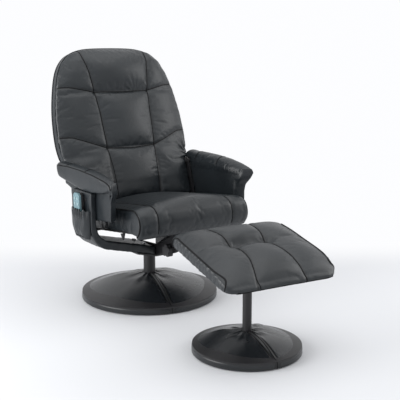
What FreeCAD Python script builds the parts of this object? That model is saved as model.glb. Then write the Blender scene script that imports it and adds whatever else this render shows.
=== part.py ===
import FreeCAD, Part
import math
import os
import re
import Sketcher
from FreeCAD import Placement, Rotation, Vector

# Massage recliner with a separate footstool, in millimetres.
# The origin is on the floor under the chair's swivel axis, the chair faces -Y and +Z is up.

SIZES = {
    # pedestals of the chair and the stool
    "glide_height": 4,
    "glide_radius": 11,
    "glide_inset": 26,
    "rim_height": 26,
    "cover_thickness": 1.5,
    "dish_wall": 2,
    "plate_thickness": 10,
    "flange_thickness": 6,
    "flange_margin": 34,
    "post_bolt_radius": 4,
    "bolt_clearance": 0.25,
    "chair_base_dia": 550,
    "chair_cone_top": 97,
    "chair_post_dia": 48,
    "chair_post_wall": 3,
    "chair_post_top": 189,
    "stool_base_dia": 370,
    "stool_cone_top": 72,
    "stool_post_dia": 31,
    "stool_post_wall": 2.5,
    "stool_post_top": 283,
    "stool_x": -67,
    "stool_y": -716,
    # swivel bearings
    "spindle_radius": 15,
    "stool_spindle_radius": 9,
    "running_gap": 0.05,
    "bush_length": 26,
    "thrust_thickness": 4,
    "collar_radius": 19,
    "collar_thickness": 5,
    # carrier and cradle that hold the seat and the arms
    "carrier_thickness": 6,
    "carrier_half_flat": 46,
    "carrier_half_span": 130,
    "cradle_slope": 13.5,
    "cradle_rear": 20,
    "cradle_width": 145,
    "leg_start": 50,
    "leg_thickness": 34,
    "side_room": 59,
    "strap_inner": "=seat_half_width + side_room",
    "strap_thickness": 24,
    "strap_top": 474,
    "bend_radius": 95,
    "cradle_bolt_radius": 5,
    # arms
    "board_thickness": 18,
    "foam_thickness": 17,
    "arm_rear": 130,
    "arm_front": -290,
    "arm_top": 560,
    "arm_low_rear": 341,
    "arm_low_front": 380,
    "arm_low_front_y": -240,
    "arm_overhang": 30,
    "arm_step_y": 62,
    "pad_step_y": 118,
    "arm_step_drop": 18,
    "band_low": 475,
    # back, hung on the arms at the recline pivot
    "pivot_y": 105,
    "pivot_z": 520,
    "pivot_radius": 6,
    "back_lean": 18,
    "back_height": 507,
    "back_drop": 122,
    "back_half_width": 298,
    "back_low_gap": 6,
    "back_low_half_width": "=seat_half_width - back_low_gap",
    "back_board_thickness": 12,
    "back_board_depth": 50,
    "back_edge_depth": 35,
    "back_crown": 18,
    "back_rear_thickness": 38,
    "back_tail": 190,
    "hinge_thickness": 5,
    "hinge_room": 10,
    "hinge_offset": "=seat_half_width + hinge_room",
    "hinge_flange": 4,
    # linkage from the back's foot to the seat
    "link_drop": 175,
    "link_forward": 52.5,
    "recline_range": 28,
    "link_pin_radius": 5,
    "link_clearance": 6.2,
    # seat
    "seat_rear_y": 60,
    "seat_rear_z": 292,
    "seat_tilt": 6.6,
    "seat_half_width": 244,
    "seat_depth": 406,
    "seat_thickness": 94,
    "seat_crown": 20,
    "seat_board_thickness": 12,
    "seat_board_inset": 14,
    "seat_nose": 36,
    "seat_lug_gap": 2,
    "seat_lug_thickness": 4,
    # recline clamp under the seat
    "clamp_setback": 121,
    "clamp_y": "=seat_rear_y - seat_depth + clamp_setback",
    "clamp_z": 240,
    "rod_radius": 5,
    "slot_clearance": 0.6,
    "bracket_offset": 42,
    "bracket_thickness": 4,
    "flange_width": 16,
    "hanger_thickness": 4,
    "hanger_gap": 1,
    "knob_radius": 25,
    "knob_thickness": 22,
    "knob_lobe_radius": 9,
    # vibration motors and control
    "motor_radius": 30,
    "motor_thickness": 24,
    "motor_clearance": 0.3,
    "control_room": 30,
    "control_gap": 26,
    "lug_foot": 46,
    "control_width": 70,
    "control_thickness": 30,
    # handset and its pocket
    "handset_length": 150,
    "handset_width": 46,
    "handset_thickness": 17,
    "handset_tilt": 1.5,
    "pocket_margin": 5,
    "handset_shift": 2,
    "handset_y": "=cradle_rear - cradle_width + pocket_margin + pocket_length / 2 + handset_shift",
    "handset_gap": 3.75,
    "handset_low": 318,
    "key_radius": 6,
    "key_height": 5.2,
    "key_proud": 1.5,
    "key_clearance": 0.3,
    "key_travel": 0.8,
    "pocket_low": 299,
    "pocket_mouth": 406,
    "pocket_length": 120,
    "pocket_bulge": 29,
    "pocket_wall": 2.5,
    # footstool cushion
    "stool_yaw": -5.7,
    "stool_tilt": 12.9,
    "stool_shift_x": 15,
    "stool_shift_y": -10,
    "stool_half_width": 217,
    "stool_half_depth": 195,
    "stool_edge": 52,
    "stool_roll": 28,
    "stool_tuft_y": 30,
    "stool_crown": 22,
    "stool_board_thickness": 10,
    "stool_board_inset": 30,
    "stool_plate_half": 60,
    "stool_plate_thickness": 5,
    "screw_radius": 3,
}

doc = FreeCAD.newDocument("recliner")
sheet = doc.addObject("Spreadsheet::Sheet", "sizes")
for row, (alias, value) in enumerate(SIZES.items(), 1):
    sheet.set("A%d" % row, alias)
    sheet.set("B%d" % row, str(value))
    sheet.setAlias("B%d" % row, alias)
doc.recompute()

SUB_PARTS = []
X_AXIS = Vector(1, 0, 0)
Y_AXIS = Vector(0, 1, 0)
Z_AXIS = Vector(0, 0, 1)


def size(alias):
    """The number in the sheet's cell of that name."""
    return float(getattr(sheet, alias))


def formula(text):
    """A formula on bare size names, written for the document's expressions."""
    def name(match):
        word = match.group()
        return "sizes." + word if word in SIZES else word
    return re.sub(r"[a-z_][a-z0-9_]*", name, str(text))


def bind(thing, **formulas):
    """Bind each property to its formula, with at_x, at_y and at_z for the place."""
    for prop, text in formulas.items():
        path = "Placement.Base." + prop[3:] if prop.startswith("at_") else prop
        thing.setExpression(path, formula(text))
    return thing


def keep(thing, label, frame=None):
    """Name a finished sub-part, put it in its frame and list it for export."""
    if frame is not None:
        if any("Placement" in path for path, text in thing.ExpressionEngine):
            thing = compound(thing)
        thing.Placement = frame
    thing.Label = label
    SUB_PARTS.append(thing)
    return thing


def add(kind, **formulas):
    return bind(doc.addObject("Part::" + kind, kind.lower()), **formulas)


def turned(thing, axis, angle):
    """Turn a primitive about its own corner or centre, keeping its bound place."""
    thing.Placement = Placement(thing.Placement.Base, Rotation(axis, angle))
    return thing


def cut(base, *tools):
    """The base less one tool or several."""
    result = doc.addObject("Part::Cut", "cut")
    result.Base = base
    result.Tool = tools[0] if len(tools) == 1 else compound(*tools)
    return result


def fuse(*pieces):
    result = doc.addObject("Part::MultiFuse", "fuse")
    result.Shapes = list(pieces)
    return result


def compound(*pieces):
    result = doc.addObject("Part::Compound", "group")
    result.Links = list(pieces)
    return result


def mirrored(source, label):
    """The right-hand twin of a left-hand piece."""
    twin = doc.addObject("Part::Mirroring", label)
    twin.Source = source
    twin.Normal = X_AXIS
    return keep(twin, label)


def solid(label, shape, frame=None):
    """A sub-part whose shape is worked out here from the sheet."""
    thing = doc.addObject("Part::Feature", label)
    thing.Shape = shape
    return keep(thing, label, frame)


def sketched(body, plane, points):
    """A closed sketch of straight lines on one of the body's origin planes."""
    sketch = body.newObject("Sketcher::SketchObject", body.Name + "_outline")
    sketch.AttachmentSupport = [(next(f for f in body.Origin.OriginFeatures if f.Role == plane), "")]
    sketch.MapMode = "FlatFace"
    count = len(points)
    turns = [2 * math.pi * i / count for i in range(count)]
    start = [Vector(math.cos(turn), math.sin(turn)) for turn in turns]
    for i in range(count):
        sketch.addGeometry(Part.LineSegment(start[i] * 100, start[(i + 1) % count] * 100))
    for i in range(count):
        sketch.addConstraint(Sketcher.Constraint("Coincident", i, 2, (i + 1) % count, 1))
    for i, point in enumerate(points):
        for kind, text in zip(("DistanceX", "DistanceY"), point):
            index = sketch.addConstraint(Sketcher.Constraint(kind, -1, 1, i, 1, 10.0))
            sketch.setExpression("Constraints[%d]" % index, formula(text))
    return sketch


def round_sketch(body, plane, centre, radius):
    """A sketch of one circle on one of the body's origin planes."""
    sketch = body.newObject("Sketcher::SketchObject", body.Name + "_circle")
    sketch.AttachmentSupport = [(next(f for f in body.Origin.OriginFeatures if f.Role == plane), "")]
    sketch.MapMode = "FlatFace"
    sketch.addGeometry(Part.Circle(Vector(10, 10, 0), Z_AXIS, 5))
    for kind, text in zip(("DistanceX", "DistanceY"), centre):
        index = sketch.addConstraint(Sketcher.Constraint(kind, -1, 1, 0, 3, 10.0))
        sketch.setExpression("Constraints[%d]" % index, formula(text))
    index = sketch.addConstraint(Sketcher.Constraint("Radius", 0, 5.0))
    sketch.setExpression("Constraints[%d]" % index, formula(radius))
    return sketch


def new_body(name):
    return doc.addObject("PartDesign::Body", name)


def padded(name, plane, points, length):
    """A plate: an outline on an origin plane, padded along the plane's normal."""
    body = new_body(name)
    pad = body.newObject("PartDesign::Pad", name + "_pad")
    pad.Profile = sketched(body, plane, points)
    bind(pad, Length=length)
    doc.recompute()
    return body


def revolved(name, points):
    """A turned piece: an outline of radius and height, spun about Z."""
    body = new_body(name)
    sketch = sketched(body, "XZ_Plane", points)
    turn = body.newObject("PartDesign::Revolution", name + "_turn")
    turn.Profile = sketch
    turn.ReferenceAxis = (sketch, ["V_Axis"])
    turn.Angle = 360
    doc.recompute()
    return body


def rounded(body, places, radius):
    """Fillet the body's edges that pass nearest the places."""
    base = body.Tip
    names = []
    for place in places:
        probe = Part.Vertex(place)
        reach = [probe.distToShape(edge)[0] for edge in base.Shape.Edges]
        names.append("Edge%d" % (reach.index(min(reach)) + 1))
    fillet = body.newObject("PartDesign::Fillet", body.Name + "_round")
    fillet.Base = (base, names)
    bind(fillet, Radius=radius)
    doc.recompute()
    return body


def ringed_holes(body, plane, centre, radius, depth, count):
    """Holes round the Z axis, down through the body from a sketch plane."""
    pocket = body.newObject("PartDesign::Pocket", body.Name + "_hole")
    pocket.Profile = round_sketch(body, plane, centre, radius)
    pocket.Reversed = True
    bind(pocket, Length=depth)
    doc.recompute()
    pattern = body.newObject("PartDesign::PolarPattern", body.Name + "_holes")
    pattern.Originals = [pocket]
    pattern.Axis = (pocket.Profile[0], ["N_Axis"])
    pattern.Angle = 360
    pattern.Occurrences = count
    body.Tip = pattern
    doc.recompute()
    return body


def bolt(head_radius, head_height, radius, length):
    """A hexagon bolt, its head's seat at the origin and its shank down -Z."""
    corners = [Vector(head_radius * math.cos(a * math.pi / 3), head_radius * math.sin(a * math.pi / 3), 0)
               for a in range(7)]
    head = Part.Face(Part.makePolygon(corners)).extrude(Vector(0, 0, head_height))
    return head.fuse(Part.makeCylinder(radius, length, Vector(0, 0, -length))).removeSplitter()


def copies(shape, placements):
    """One compound of a shape put at each placement."""
    group = []
    for placement in placements:
        one = shape.copy()
        one.Placement = placement.multiply(one.Placement)
        group.append(one)
    return Part.makeCompound(group)


def round_places(count, radius, height, first=0.0):
    """Placements spread evenly round a circle at one height."""
    turns = [first + 2 * math.pi * i / count for i in range(count)]
    return [Placement(Vector(radius * math.cos(a), radius * math.sin(a), height), Rotation()) for a in turns]


def arc_edge(start, end, rise):
    """An arc from start to end whose middle lies off the chord by the vector rise."""
    return Part.Arc(start, (start + end) * 0.5 + rise, end).toShape()


def line_edge(start, end):
    return Part.LineSegment(start, end).toShape()


def lofted(sections):
    """A closed solid through sections of the same count of edges."""
    return Part.makeLoft([Part.Wire(edges) for edges in sections], True, True)


# Pedestals: a pressed dish in a sewn cover, a weighted plate on glides and a bolted post.
POST_BOLTS = 4
GLIDES = 6


def pedestal(name, frame):
    half = "%s_base_dia / 2" % name
    post = "%s_post_dia / 2" % name
    bore = "(%s - %s_post_wall)" % (post, name)
    top = "%s_cone_top" % name
    shoulder = "(glide_height + rim_height)"
    skin = "cover_thickness"
    shell = "(cover_thickness + dish_wall)"
    lip = "(%s + dish_wall)" % post
    cover = revolved(name + "_cover_body", [
        (half, "glide_height"), (half, shoulder), (lip, top), (post, top),
        (post, "%s - %s" % (top, skin)), (lip, "%s - %s" % (top, skin)),
        ("%s - %s" % (half, skin), "%s - %s" % (shoulder, skin)),
        ("%s - %s" % (half, skin), "glide_height")])
    keep(cover, name + "_base_cover", frame)
    dish = revolved(name + "_dish_body", [
        ("%s - %s" % (half, skin), "glide_height"),
        ("%s - %s" % (half, skin), "%s - %s" % (shoulder, skin)),
        (lip, "%s - %s" % (top, skin)), (post, "%s - %s" % (top, skin)),
        (post, "%s - %s" % (top, shell)), (lip, "%s - %s" % (top, shell)),
        ("%s - %s" % (half, shell), "%s - %s" % (shoulder, shell)),
        ("%s - %s" % (half, shell), "glide_height")])
    keep(dish, name + "_base_dish", frame)
    bolt_circle = "(%s + flange_margin / 2)" % post
    hole = "post_bolt_radius + bolt_clearance"
    foot = "(glide_height + plate_thickness)"
    plate = new_body(name + "_plate_body")
    pad = plate.newObject("PartDesign::Pad", name + "_plate_pad")
    pad.Profile = round_sketch(plate, "XY_Plane", ("0", "0"), "%s - %s" % (half, shell))
    bind(pad, Length="plate_thickness")
    doc.recompute()
    ringed_holes(plate, "XY_Plane", (bolt_circle, "0"), hole, "plate_thickness", POST_BOLTS)
    lift = Placement(Vector(0, 0, size("glide_height")), Rotation())
    keep(plate, name + "_base_plate", frame.multiply(lift))
    tube = revolved(name + "_post_body", [
        (bore, "0"), ("%s + flange_margin" % post, "0"), ("%s + flange_margin" % post, "flange_thickness"),
        (post, "flange_thickness"), (post, "%s_post_top - %s" % (name, foot)),
        (bore, "%s_post_top - %s" % (name, foot))])
    ringed_holes(tube, "XY_Plane", (bolt_circle, "0"), hole, "flange_thickness", POST_BOLTS)
    seat = Placement(Vector(0, 0, size("glide_height") + size("plate_thickness")), Rotation())
    keep(tube, name + "_post", frame.multiply(seat))
    bolt_radius = size("post_bolt_radius")
    one = bolt(bolt_radius * 1.7, bolt_radius * 1.2, bolt_radius,
               size("flange_thickness") + size("plate_thickness"))
    circle = size(name + "_post_dia") / 2 + size("flange_margin") / 2
    height = size("glide_height") + size("plate_thickness") + size("flange_thickness")
    solid(name + "_post_bolts", copies(one, round_places(POST_BOLTS, circle, height)), frame)
    glide = Part.makeCone(size("glide_radius"), size("glide_radius") * 0.9, size("glide_height"))
    ring = size(name + "_base_dia") / 2 - size("glide_inset")
    feet = round_places(GLIDES, ring, 0, first=math.pi / GLIDES)
    solid(name + "_base_glides", copies(glide, feet), frame)


CHAIR_FRAME = Placement()
STOOL_FRAME = Placement(Vector(size("stool_x"), size("stool_y"), 0), Rotation())
pedestal("chair", CHAIR_FRAME)
pedestal("stool", STOOL_FRAME)


# Swivel bearings: plain bushes in the posts and a thrust ring on each.
def bush(label, outer, inner, low, length, frame):
    barrel = add("Cylinder", Radius=outer, Height=length, at_z=low)
    hole = add("Cylinder", Radius=inner, Height=length, at_z=low)
    keep(cut(barrel, hole), label, frame)


chair_bore = "(chair_post_dia / 2 - chair_post_wall)"
stool_bore = "(stool_post_dia / 2 - stool_post_wall)"
chair_running = "spindle_radius + running_gap"
stool_running = "stool_spindle_radius + running_gap"
low_bush = "glide_height + plate_thickness + 3 * bush_length / 2"
bush("chair_lower_bush", chair_bore, chair_running, low_bush, "bush_length", CHAIR_FRAME)
bush("chair_upper_bush", chair_bore, chair_running, "chair_post_top - bush_length", "bush_length",
     CHAIR_FRAME)
bush("chair_thrust_ring", "chair_post_dia / 2", chair_running, "chair_post_top", "thrust_thickness",
     CHAIR_FRAME)
bush("stool_bush", stool_bore, stool_running, "stool_post_top - 2 * bush_length", "2 * bush_length",
     STOOL_FRAME)

# Spindle that turns in the chair's post, held in by a collar under the lower bush.
carrier_low = "(chair_post_top + thrust_thickness)"
carrier_top = "(chair_post_top + thrust_thickness + carrier_thickness)"
collar_top = "(%s - running_gap)" % low_bush
spindle = revolved("spindle_body", [
    ("0", "%s - collar_thickness" % collar_top), ("collar_radius", "%s - collar_thickness" % collar_top),
    ("collar_radius", collar_top), ("spindle_radius", collar_top), ("spindle_radius", carrier_top),
    ("0", carrier_top)])
keep(spindle, "swivel_spindle")

# Carrier: a bent plate on the spindle whose wings carry the two cradle legs.
CARRIER_TOP = size("chair_post_top") + size("thrust_thickness") + size("carrier_thickness")
SLOPE = math.radians(size("cradle_slope"))
wing_rise = "(carrier_half_span - carrier_half_flat) * tan(cradle_slope)"
wing_end = "carrier_half_span"
carrier = padded("carrier_body", "XZ_Plane", [
    ("-carrier_half_flat", carrier_low), ("carrier_half_flat", carrier_low),
    (wing_end, "%s + %s" % (carrier_low, wing_rise)), (wing_end, "%s + %s" % (carrier_top, wing_rise)),
    ("carrier_half_flat", carrier_top), ("-carrier_half_flat", carrier_top),
    ("-" + wing_end, "%s + %s" % (carrier_top, wing_rise)),
    ("-" + wing_end, "%s + %s" % (carrier_low, wing_rise))], "cradle_width")
carrier.Placement = Placement(Vector(0, size("cradle_rear"), 0), Rotation())

# Cradle bolts go square through the wings and the legs, two on each side.
leg_height = size("leg_thickness") / math.cos(SLOPE)
LEG_BOLT_X = (size("leg_start") + size("carrier_half_span")) / 2
LEG_BOLT_Y = [size("cradle_rear") - size("cradle_width") * share for share in (0.25, 0.75)]
wing_top = CARRIER_TOP + (LEG_BOLT_X - size("carrier_half_flat")) * math.tan(SLOPE)
leg_normal = Vector(math.sin(SLOPE), 0, math.cos(SLOPE))


def leg_bolt_seats():
    """Placements of the bolt heads on top of the left and right legs."""
    seats = []
    for side in (-1, 1):
        up = Vector(-side * leg_normal.x, 0, leg_normal.z)
        turn = Rotation(Z_AXIS, up)
        for y in LEG_BOLT_Y:
            foot = Vector(side * LEG_BOLT_X, y, wing_top)
            seats.append(Placement(foot + up * size("leg_thickness"), turn))
    return seats


grip = size("leg_thickness") + size("carrier_thickness")
bolt_hole = Part.makeCylinder(size("cradle_bolt_radius") + size("bolt_clearance"), 2 * grip,
                              Vector(0, 0, -1.5 * grip))
leg_holes = doc.addObject("Part::Feature", "leg_holes")
leg_holes.Shape = copies(bolt_hole, leg_bolt_seats())
spindle_hole = add("Cylinder", Radius="spindle_radius", Height="chair_post_top", at_z="chair_post_top")
keep(cut(carrier, leg_holes, spindle_hole), "carrier_plate")
bolt_radius = size("cradle_bolt_radius")
cradle_bolt = bolt(bolt_radius * 1.7, bolt_radius * 1.2, bolt_radius, grip)
solid("cradle_bolts", copies(cradle_bolt, leg_bolt_seats()))


# Cradle: on each side a leg that bends up into the broad strap under the arm.
def leg_low(x):
    return "(%s + (%s - carrier_half_flat) * tan(cradle_slope))" % (carrier_top, x)


leg_rise = "leg_thickness / cos(cradle_slope)"
strap_outer = "(strap_inner + strap_thickness)"
cradle = padded("cradle_body", "XZ_Plane", [
    ("-leg_start", leg_low("leg_start")), ("-leg_start", "%s + %s" % (leg_low("leg_start"), leg_rise)),
    ("-strap_inner", "%s + %s" % (leg_low("strap_inner"), leg_rise)), ("-strap_inner", "strap_top"),
    ("-" + strap_outer, "strap_top"), ("-" + strap_outer, leg_low(strap_outer))], "cradle_width")
STRAP_OUTER = size("strap_inner") + size("strap_thickness")


def leg_low_at(x):
    return CARRIER_TOP + (x - size("carrier_half_flat")) * math.tan(SLOPE)


half_width = -size("cradle_width") / 2
inner_corner = Vector(-size("strap_inner"), half_width, leg_low_at(size("strap_inner")) + leg_height)
rounded(cradle, [inner_corner], "bend_radius - strap_thickness")
rounded(cradle, [Vector(-STRAP_OUTER, half_width, leg_low_at(STRAP_OUTER))], "bend_radius")
cradle.Placement = Placement(Vector(0, size("cradle_rear"), 0), Rotation())

# Arm bolts go through each strap into the arm's board.
ARM_BOLT_Z = [size("strap_top") - share * size("cradle_width") for share in (0.2, 0.6)]
BOARD_INNER = size("strap_inner") - size("board_thickness")


def arm_bolt_seats(sides):
    """Placements of the bolt heads on the straps' outer faces."""
    return [Placement(Vector(side * STRAP_OUTER, y, z), Rotation(Z_AXIS, Vector(side, 0, 0)))
            for side in sides for y in LEG_BOLT_Y for z in ARM_BOLT_Z]


arm_grip = size("strap_thickness") + size("board_thickness") * 0.7
arm_hole = Part.makeCylinder(size("post_bolt_radius") + size("bolt_clearance"), arm_grip + 1,
                             Vector(0, 0, -arm_grip))
arm_holes = doc.addObject("Part::Feature", "arm_holes")
arm_holes.Shape = copies(arm_hole, arm_bolt_seats((-1,)))
left_cradle = keep(cut(cradle, leg_holes, arm_holes), "cradle_left")
mirrored(left_cradle, "cradle_right")
arm_bolt = bolt(size("post_bolt_radius") * 1.7, 2, size("post_bolt_radius"), arm_grip)
solid("arm_bolts", copies(arm_bolt, arm_bolt_seats((-1, 1))))

# Arm boards: plywood sides that hang on the straps and hold the recline pivot.
arm_rise = "(arm_top - 32)"
board = padded("arm_board_body", "YZ_Plane", [
    ("arm_rear", "arm_low_rear"), ("arm_rear", arm_rise), ("arm_front + 60", "arm_top - 52"),
    ("arm_front + 8", "arm_top - 78"), ("arm_low_front_y", "arm_low_front")], "board_thickness")
board.Placement = Placement(Vector(-size("strap_inner"), 0, 0), Rotation())
pivot_hole = add("Cylinder", Radius="pivot_radius + bolt_clearance", Height="board_thickness",
                 at_x="-strap_inner", at_y="pivot_y", at_z="pivot_z")
turned(pivot_hole, Y_AXIS, 90)
# The side stops behind the strap and under the front roll: these notches clear the board and its foam.
notch_depth = "2 * (board_thickness + foam_thickness)"


def rear_notch(name, step):
    return padded(name, "YZ_Plane", [
        ("arm_rear + 40", "band_low + 8"), (step, "band_low - arm_step_drop"),
        (step + " - 12", "arm_low_rear - 40"), ("arm_rear + 40", "arm_low_rear - 40")], notch_depth)


board_notch = rear_notch("board_notch", "arm_step_y")
pad_notch = rear_notch("pad_notch", "pad_step_y")
front_notch = padded("front_notch", "YZ_Plane", [
    ("arm_low_front_y - 4", "arm_low_front - 40"), ("arm_low_front_y - 10", "arm_top - 80"),
    ("arm_front - 40", "arm_top - 80"), ("arm_front - 40", "arm_low_front - 40")], notch_depth)
for notch in (board_notch, pad_notch, front_notch):
    notch.Placement = Placement(Vector(-size("strap_inner"), 0, 0), Rotation())
left_board = keep(cut(board, arm_holes, pivot_hole, board_notch, front_notch), "arm_board_left")
mirrored(left_board, "arm_board_right")

# Arm pads: foam down the inner side and over the top, with a band that hangs outside.
# Each station: share of the length from the rear, drop of the top, overhang share, drop of the band's edge.
ARM_STATIONS = [(0.0, 6, 1.0, -30), (0.03, 2, 1.1, -26), (0.2, 0, 1.0, -14), (0.42, 2, 1.0, 0),
                (0.62, 8, 0.96, 0), (0.8, 17, 0.74, -5), (0.9, 24, 0.5, -12), (0.96, 30, 0.38, -16),
                (1.0, 40, 0.32, -20)]
ARM_ROUND_SHARE = 0.55
BAND_ROUND = 9


def arm_section(share, drop, hang, lift):
    """The pad's outline at one place along the arm, seen from the rear on the left."""
    y = size("arm_rear") + share * (size("arm_front") - size("arm_rear"))
    top = size("arm_top") - drop
    band = size("band_low") - lift
    inner = BOARD_INNER - size("foam_thickness")
    outer = size("strap_inner") + size("arm_overhang") * hang
    turn = ARM_ROUND_SHARE * (outer - inner)
    rear = size("arm_rear")
    low_front_y = size("arm_low_front_y")
    slope = (size("arm_low_front") - size("arm_low_rear")) / (rear - low_front_y)
    low = size("arm_low_rear") + slope * (rear - y)
    board_top = size("arm_top") - 31 - 20 * (rear - y) / (rear - size("arm_front") - 60)
    if y < low_front_y:
        steep = (size("arm_top") - 78 - size("arm_low_front")) / (low_front_y - size("arm_front") - 8)
        low += (steep - slope) * (low_front_y - y)
    board_top = min(board_top, top - 14)
    low = min(low, board_top - 12)
    face = size("strap_inner")
    corners = [(inner, low), (inner, top - turn), (inner + turn, top), (outer - BAND_ROUND, top - 4),
               (outer, top - 4 - BAND_ROUND), (outer - 2, band + 5), (outer - 7, band), (face, band),
               (face, board_top), (BOARD_INNER, board_top), (BOARD_INNER, low)]
    at = [Vector(-x, y, z) for x, z in corners]
    bulge = turn * 0.207
    edges = [line_edge(at[0], at[1]), arc_edge(at[1], at[2], Vector(bulge, 0, bulge)),
             arc_edge(at[2], at[3], Vector(0, 0, 1.5)), arc_edge(at[3], at[4], Vector(-2, 0, 2)),
             arc_edge(at[4], at[5], Vector(-2, 0, 0)), line_edge(at[5], at[6])]
    return edges + [line_edge(at[i], at[(i + 1) % len(at)]) for i in range(6, len(at))]


pad_blank = doc.addObject("Part::Feature", "arm_pad_blank")
pad_blank.Shape = lofted([arm_section(*station) for station in ARM_STATIONS])
boss_hole = add("Cylinder", Radius="pivot_radius + 4", Height="foam_thickness + board_thickness",
                at_x="-strap_inner", at_y="pivot_y", at_z="pivot_z")
turned(boss_hole, Y_AXIS, 90)
left_pad = keep(cut(pad_blank, boss_hole, pad_notch, front_notch), "arm_pad_left")
mirrored(left_pad, "arm_pad_right")

# Recline pivots: shoulder bolts from the arm boards to the hinge plates of the back.
HINGE_OUTER = size("hinge_offset") + size("hinge_thickness")


def pivot_bolt(side):
    """A bolt with its head inside the hinge plate and a collar between plate and board."""
    radius = size("pivot_radius")
    inward = Vector(-side, 0, 0)
    outward = Vector(side, 0, 0)
    plate = Vector(side * size("hinge_offset"), size("pivot_y"), size("pivot_z"))
    board_face = BOARD_INNER - HINGE_OUTER
    shank = Part.makeCylinder(radius, size("strap_inner") - size("hinge_offset"), plate, outward)
    head = Part.makeCylinder(radius * 1.8, radius * 0.9, plate + inward * 0.3, inward)
    neck = Part.makeCylinder(radius, 0.3, plate + inward * 0.3, outward)
    collar_foot = plate + outward * (size("hinge_thickness") + 0.3)
    collar = Part.makeCylinder(radius + 3, board_face - 0.3, collar_foot, outward)
    return shank.multiFuse([head, neck, collar]).removeSplitter()


solid("back_pivot_bolts", Part.makeCompound([pivot_bolt(-1), pivot_bolt(1)]))

# Slide brackets: on each side of the carrier a plate with an inclined slot for the clamp rod.
LINK_ANGLE = math.atan2(size("link_forward"), size("link_drop"))
SLIDE_ANGLE = LINK_ANGLE + math.radians(size("recline_range")) / 2
LINK_LENGTH = math.hypot(size("link_forward"), size("link_drop"))
TRAVEL = 2 * LINK_LENGTH * math.sin(math.radians(size("recline_range")) / 2)
SLIDE = Vector(0, -math.cos(SLIDE_ANGLE), math.sin(SLIDE_ANGLE))
link_angle = "(atan(link_forward / link_drop) + recline_range / 2 * 1 deg)"
travel = "(2 * sqrt(link_forward^2 + link_drop^2) * sin(recline_range / 2))"
slot_end_y = "(clamp_y - %s * cos(%s))" % (travel, link_angle)
slot_end_z = "(clamp_z + %s * sin(%s))" % (travel, link_angle)
web = padded("bracket_body", "YZ_Plane", [
    ("cradle_rear - 2", carrier_top), ("cradle_rear - 2", "%s + 36" % carrier_top),
    ("clamp_y + 90", "clamp_z + 4"), ("clamp_y - 38", "clamp_z + 4 + 128 * tan(%s)" % link_angle),
    (slot_end_y + " - 12", slot_end_z + " + 13"), (slot_end_y + " - 4", slot_end_z + " - 17"),
    ("clamp_y - 2", "clamp_z - 18"), ("cradle_rear - cradle_width", carrier_top)], "bracket_thickness")
web.Placement = Placement(Vector(-size("bracket_offset") - size("bracket_thickness"), 0, 0), Rotation())
slot_radius = "(rod_radius + slot_clearance)"
slot = add("Box", Length="2 * bracket_offset", Width=travel, Height="2 * " + slot_radius)
CLAMP = Vector(0, size("clamp_y"), size("clamp_z"))
slope_turn = Rotation(Vector(-1, 0, 0), math.degrees(SLIDE_ANGLE))
slot_lift = size("rod_radius") + size("slot_clearance")
slot.Placement = Placement(CLAMP + SLIDE * TRAVEL, slope_turn).multiply(
    Placement(Vector(-1.5 * size("bracket_offset"), 0, -slot_lift), Rotation()))
slot_ends = [turned(add("Cylinder", Radius=slot_radius, Height="2 * bracket_offset",
                        at_x="-1.5 * bracket_offset", at_y=y, at_z=z), Y_AXIS, 90)
             for y, z in (("clamp_y", "clamp_z"), (slot_end_y, slot_end_z))]
lip_length = "128 / cos(%s)" % link_angle
lip = add("Box", Length="flange_width", Width=lip_length, Height="3")
lip_foot = Vector(-size("bracket_offset") - size("bracket_thickness") - size("flange_width"),
                  size("clamp_y") - 38, size("clamp_z") + 4 + 128 * math.tan(SLIDE_ANGLE))
lip.Placement = Placement(lip_foot, slope_turn).multiply(Placement(Vector(0, 0, -3), Rotation()))
foot = add("Box", Length="bracket_offset - spindle_radius - 3", Width="cradle_width - 10",
           Height="bracket_thickness", at_x="-bracket_offset", at_y="cradle_rear - cradle_width + 5",
           at_z=carrier_top)
left_bracket = keep(cut(fuse(web, lip, foot), slot, *slot_ends), "slide_bracket_left")
mirrored(left_bracket, "slide_bracket_right")

# Pocket for the handset, sewn to the outer face of the left strap.
pocket_outer = "(%s + pocket_bulge)" % strap_outer


POCKET_FRONT = size("cradle_rear") - size("cradle_width") + size("pocket_margin")
POCKET_MIDDLE = Vector(-STRAP_OUTER, POCKET_FRONT + size("pocket_length") / 2, 0)


def pocket_shell(name, inset, mouth):
    """The pouch's side outline, padded across it and trimmed to a half oval in plan."""
    block = padded(name, "XZ_Plane", [
        ("-" + strap_outer, "pocket_low + %s" % inset),
        ("-%s + 11" % pocket_outer, "pocket_low + 3 + %s" % inset),
        ("-%s + %s" % (pocket_outer, inset), "pocket_low + 42"),
        ("-%s + 1 + %s" % (pocket_outer, inset), "pocket_mouth + %s" % mouth),
        ("-" + strap_outer, "pocket_mouth + %s" % mouth)], "pocket_length")
    block.Placement = Placement(Vector(0, POCKET_FRONT + size("pocket_length"), 0), Rotation())
    wall = size(inset) if inset in SIZES else 0
    plan = Part.Ellipse(POCKET_MIDDLE + Vector(0, size("pocket_length") / 2 - wall, 0),
                        POCKET_MIDDLE + Vector(size("pocket_bulge") - wall, 0, 0), POCKET_MIDDLE)
    oval = doc.addObject("Part::Feature", name + "_oval")
    oval.Shape = Part.Face(Part.Wire(plan.toShape())).extrude(Vector(0, 0, 2 * size("pocket_mouth")))
    trimmed = doc.addObject("Part::Common", name + "_trimmed")
    trimmed.Base = block
    trimmed.Tool = oval
    return trimmed


pocket_skin = pocket_shell("pocket_body", "0", "0")
pocket_room = pocket_shell("pocket_room", "pocket_wall", "1")
bolt_relief = doc.addObject("Part::Feature", "bolt_relief")
bolt_relief.Shape = copies(Part.makeCylinder(9, 4), arm_bolt_seats((-1,)))
keep(cut(pocket_skin, pocket_room, bolt_relief), "remote_pocket")

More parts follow.
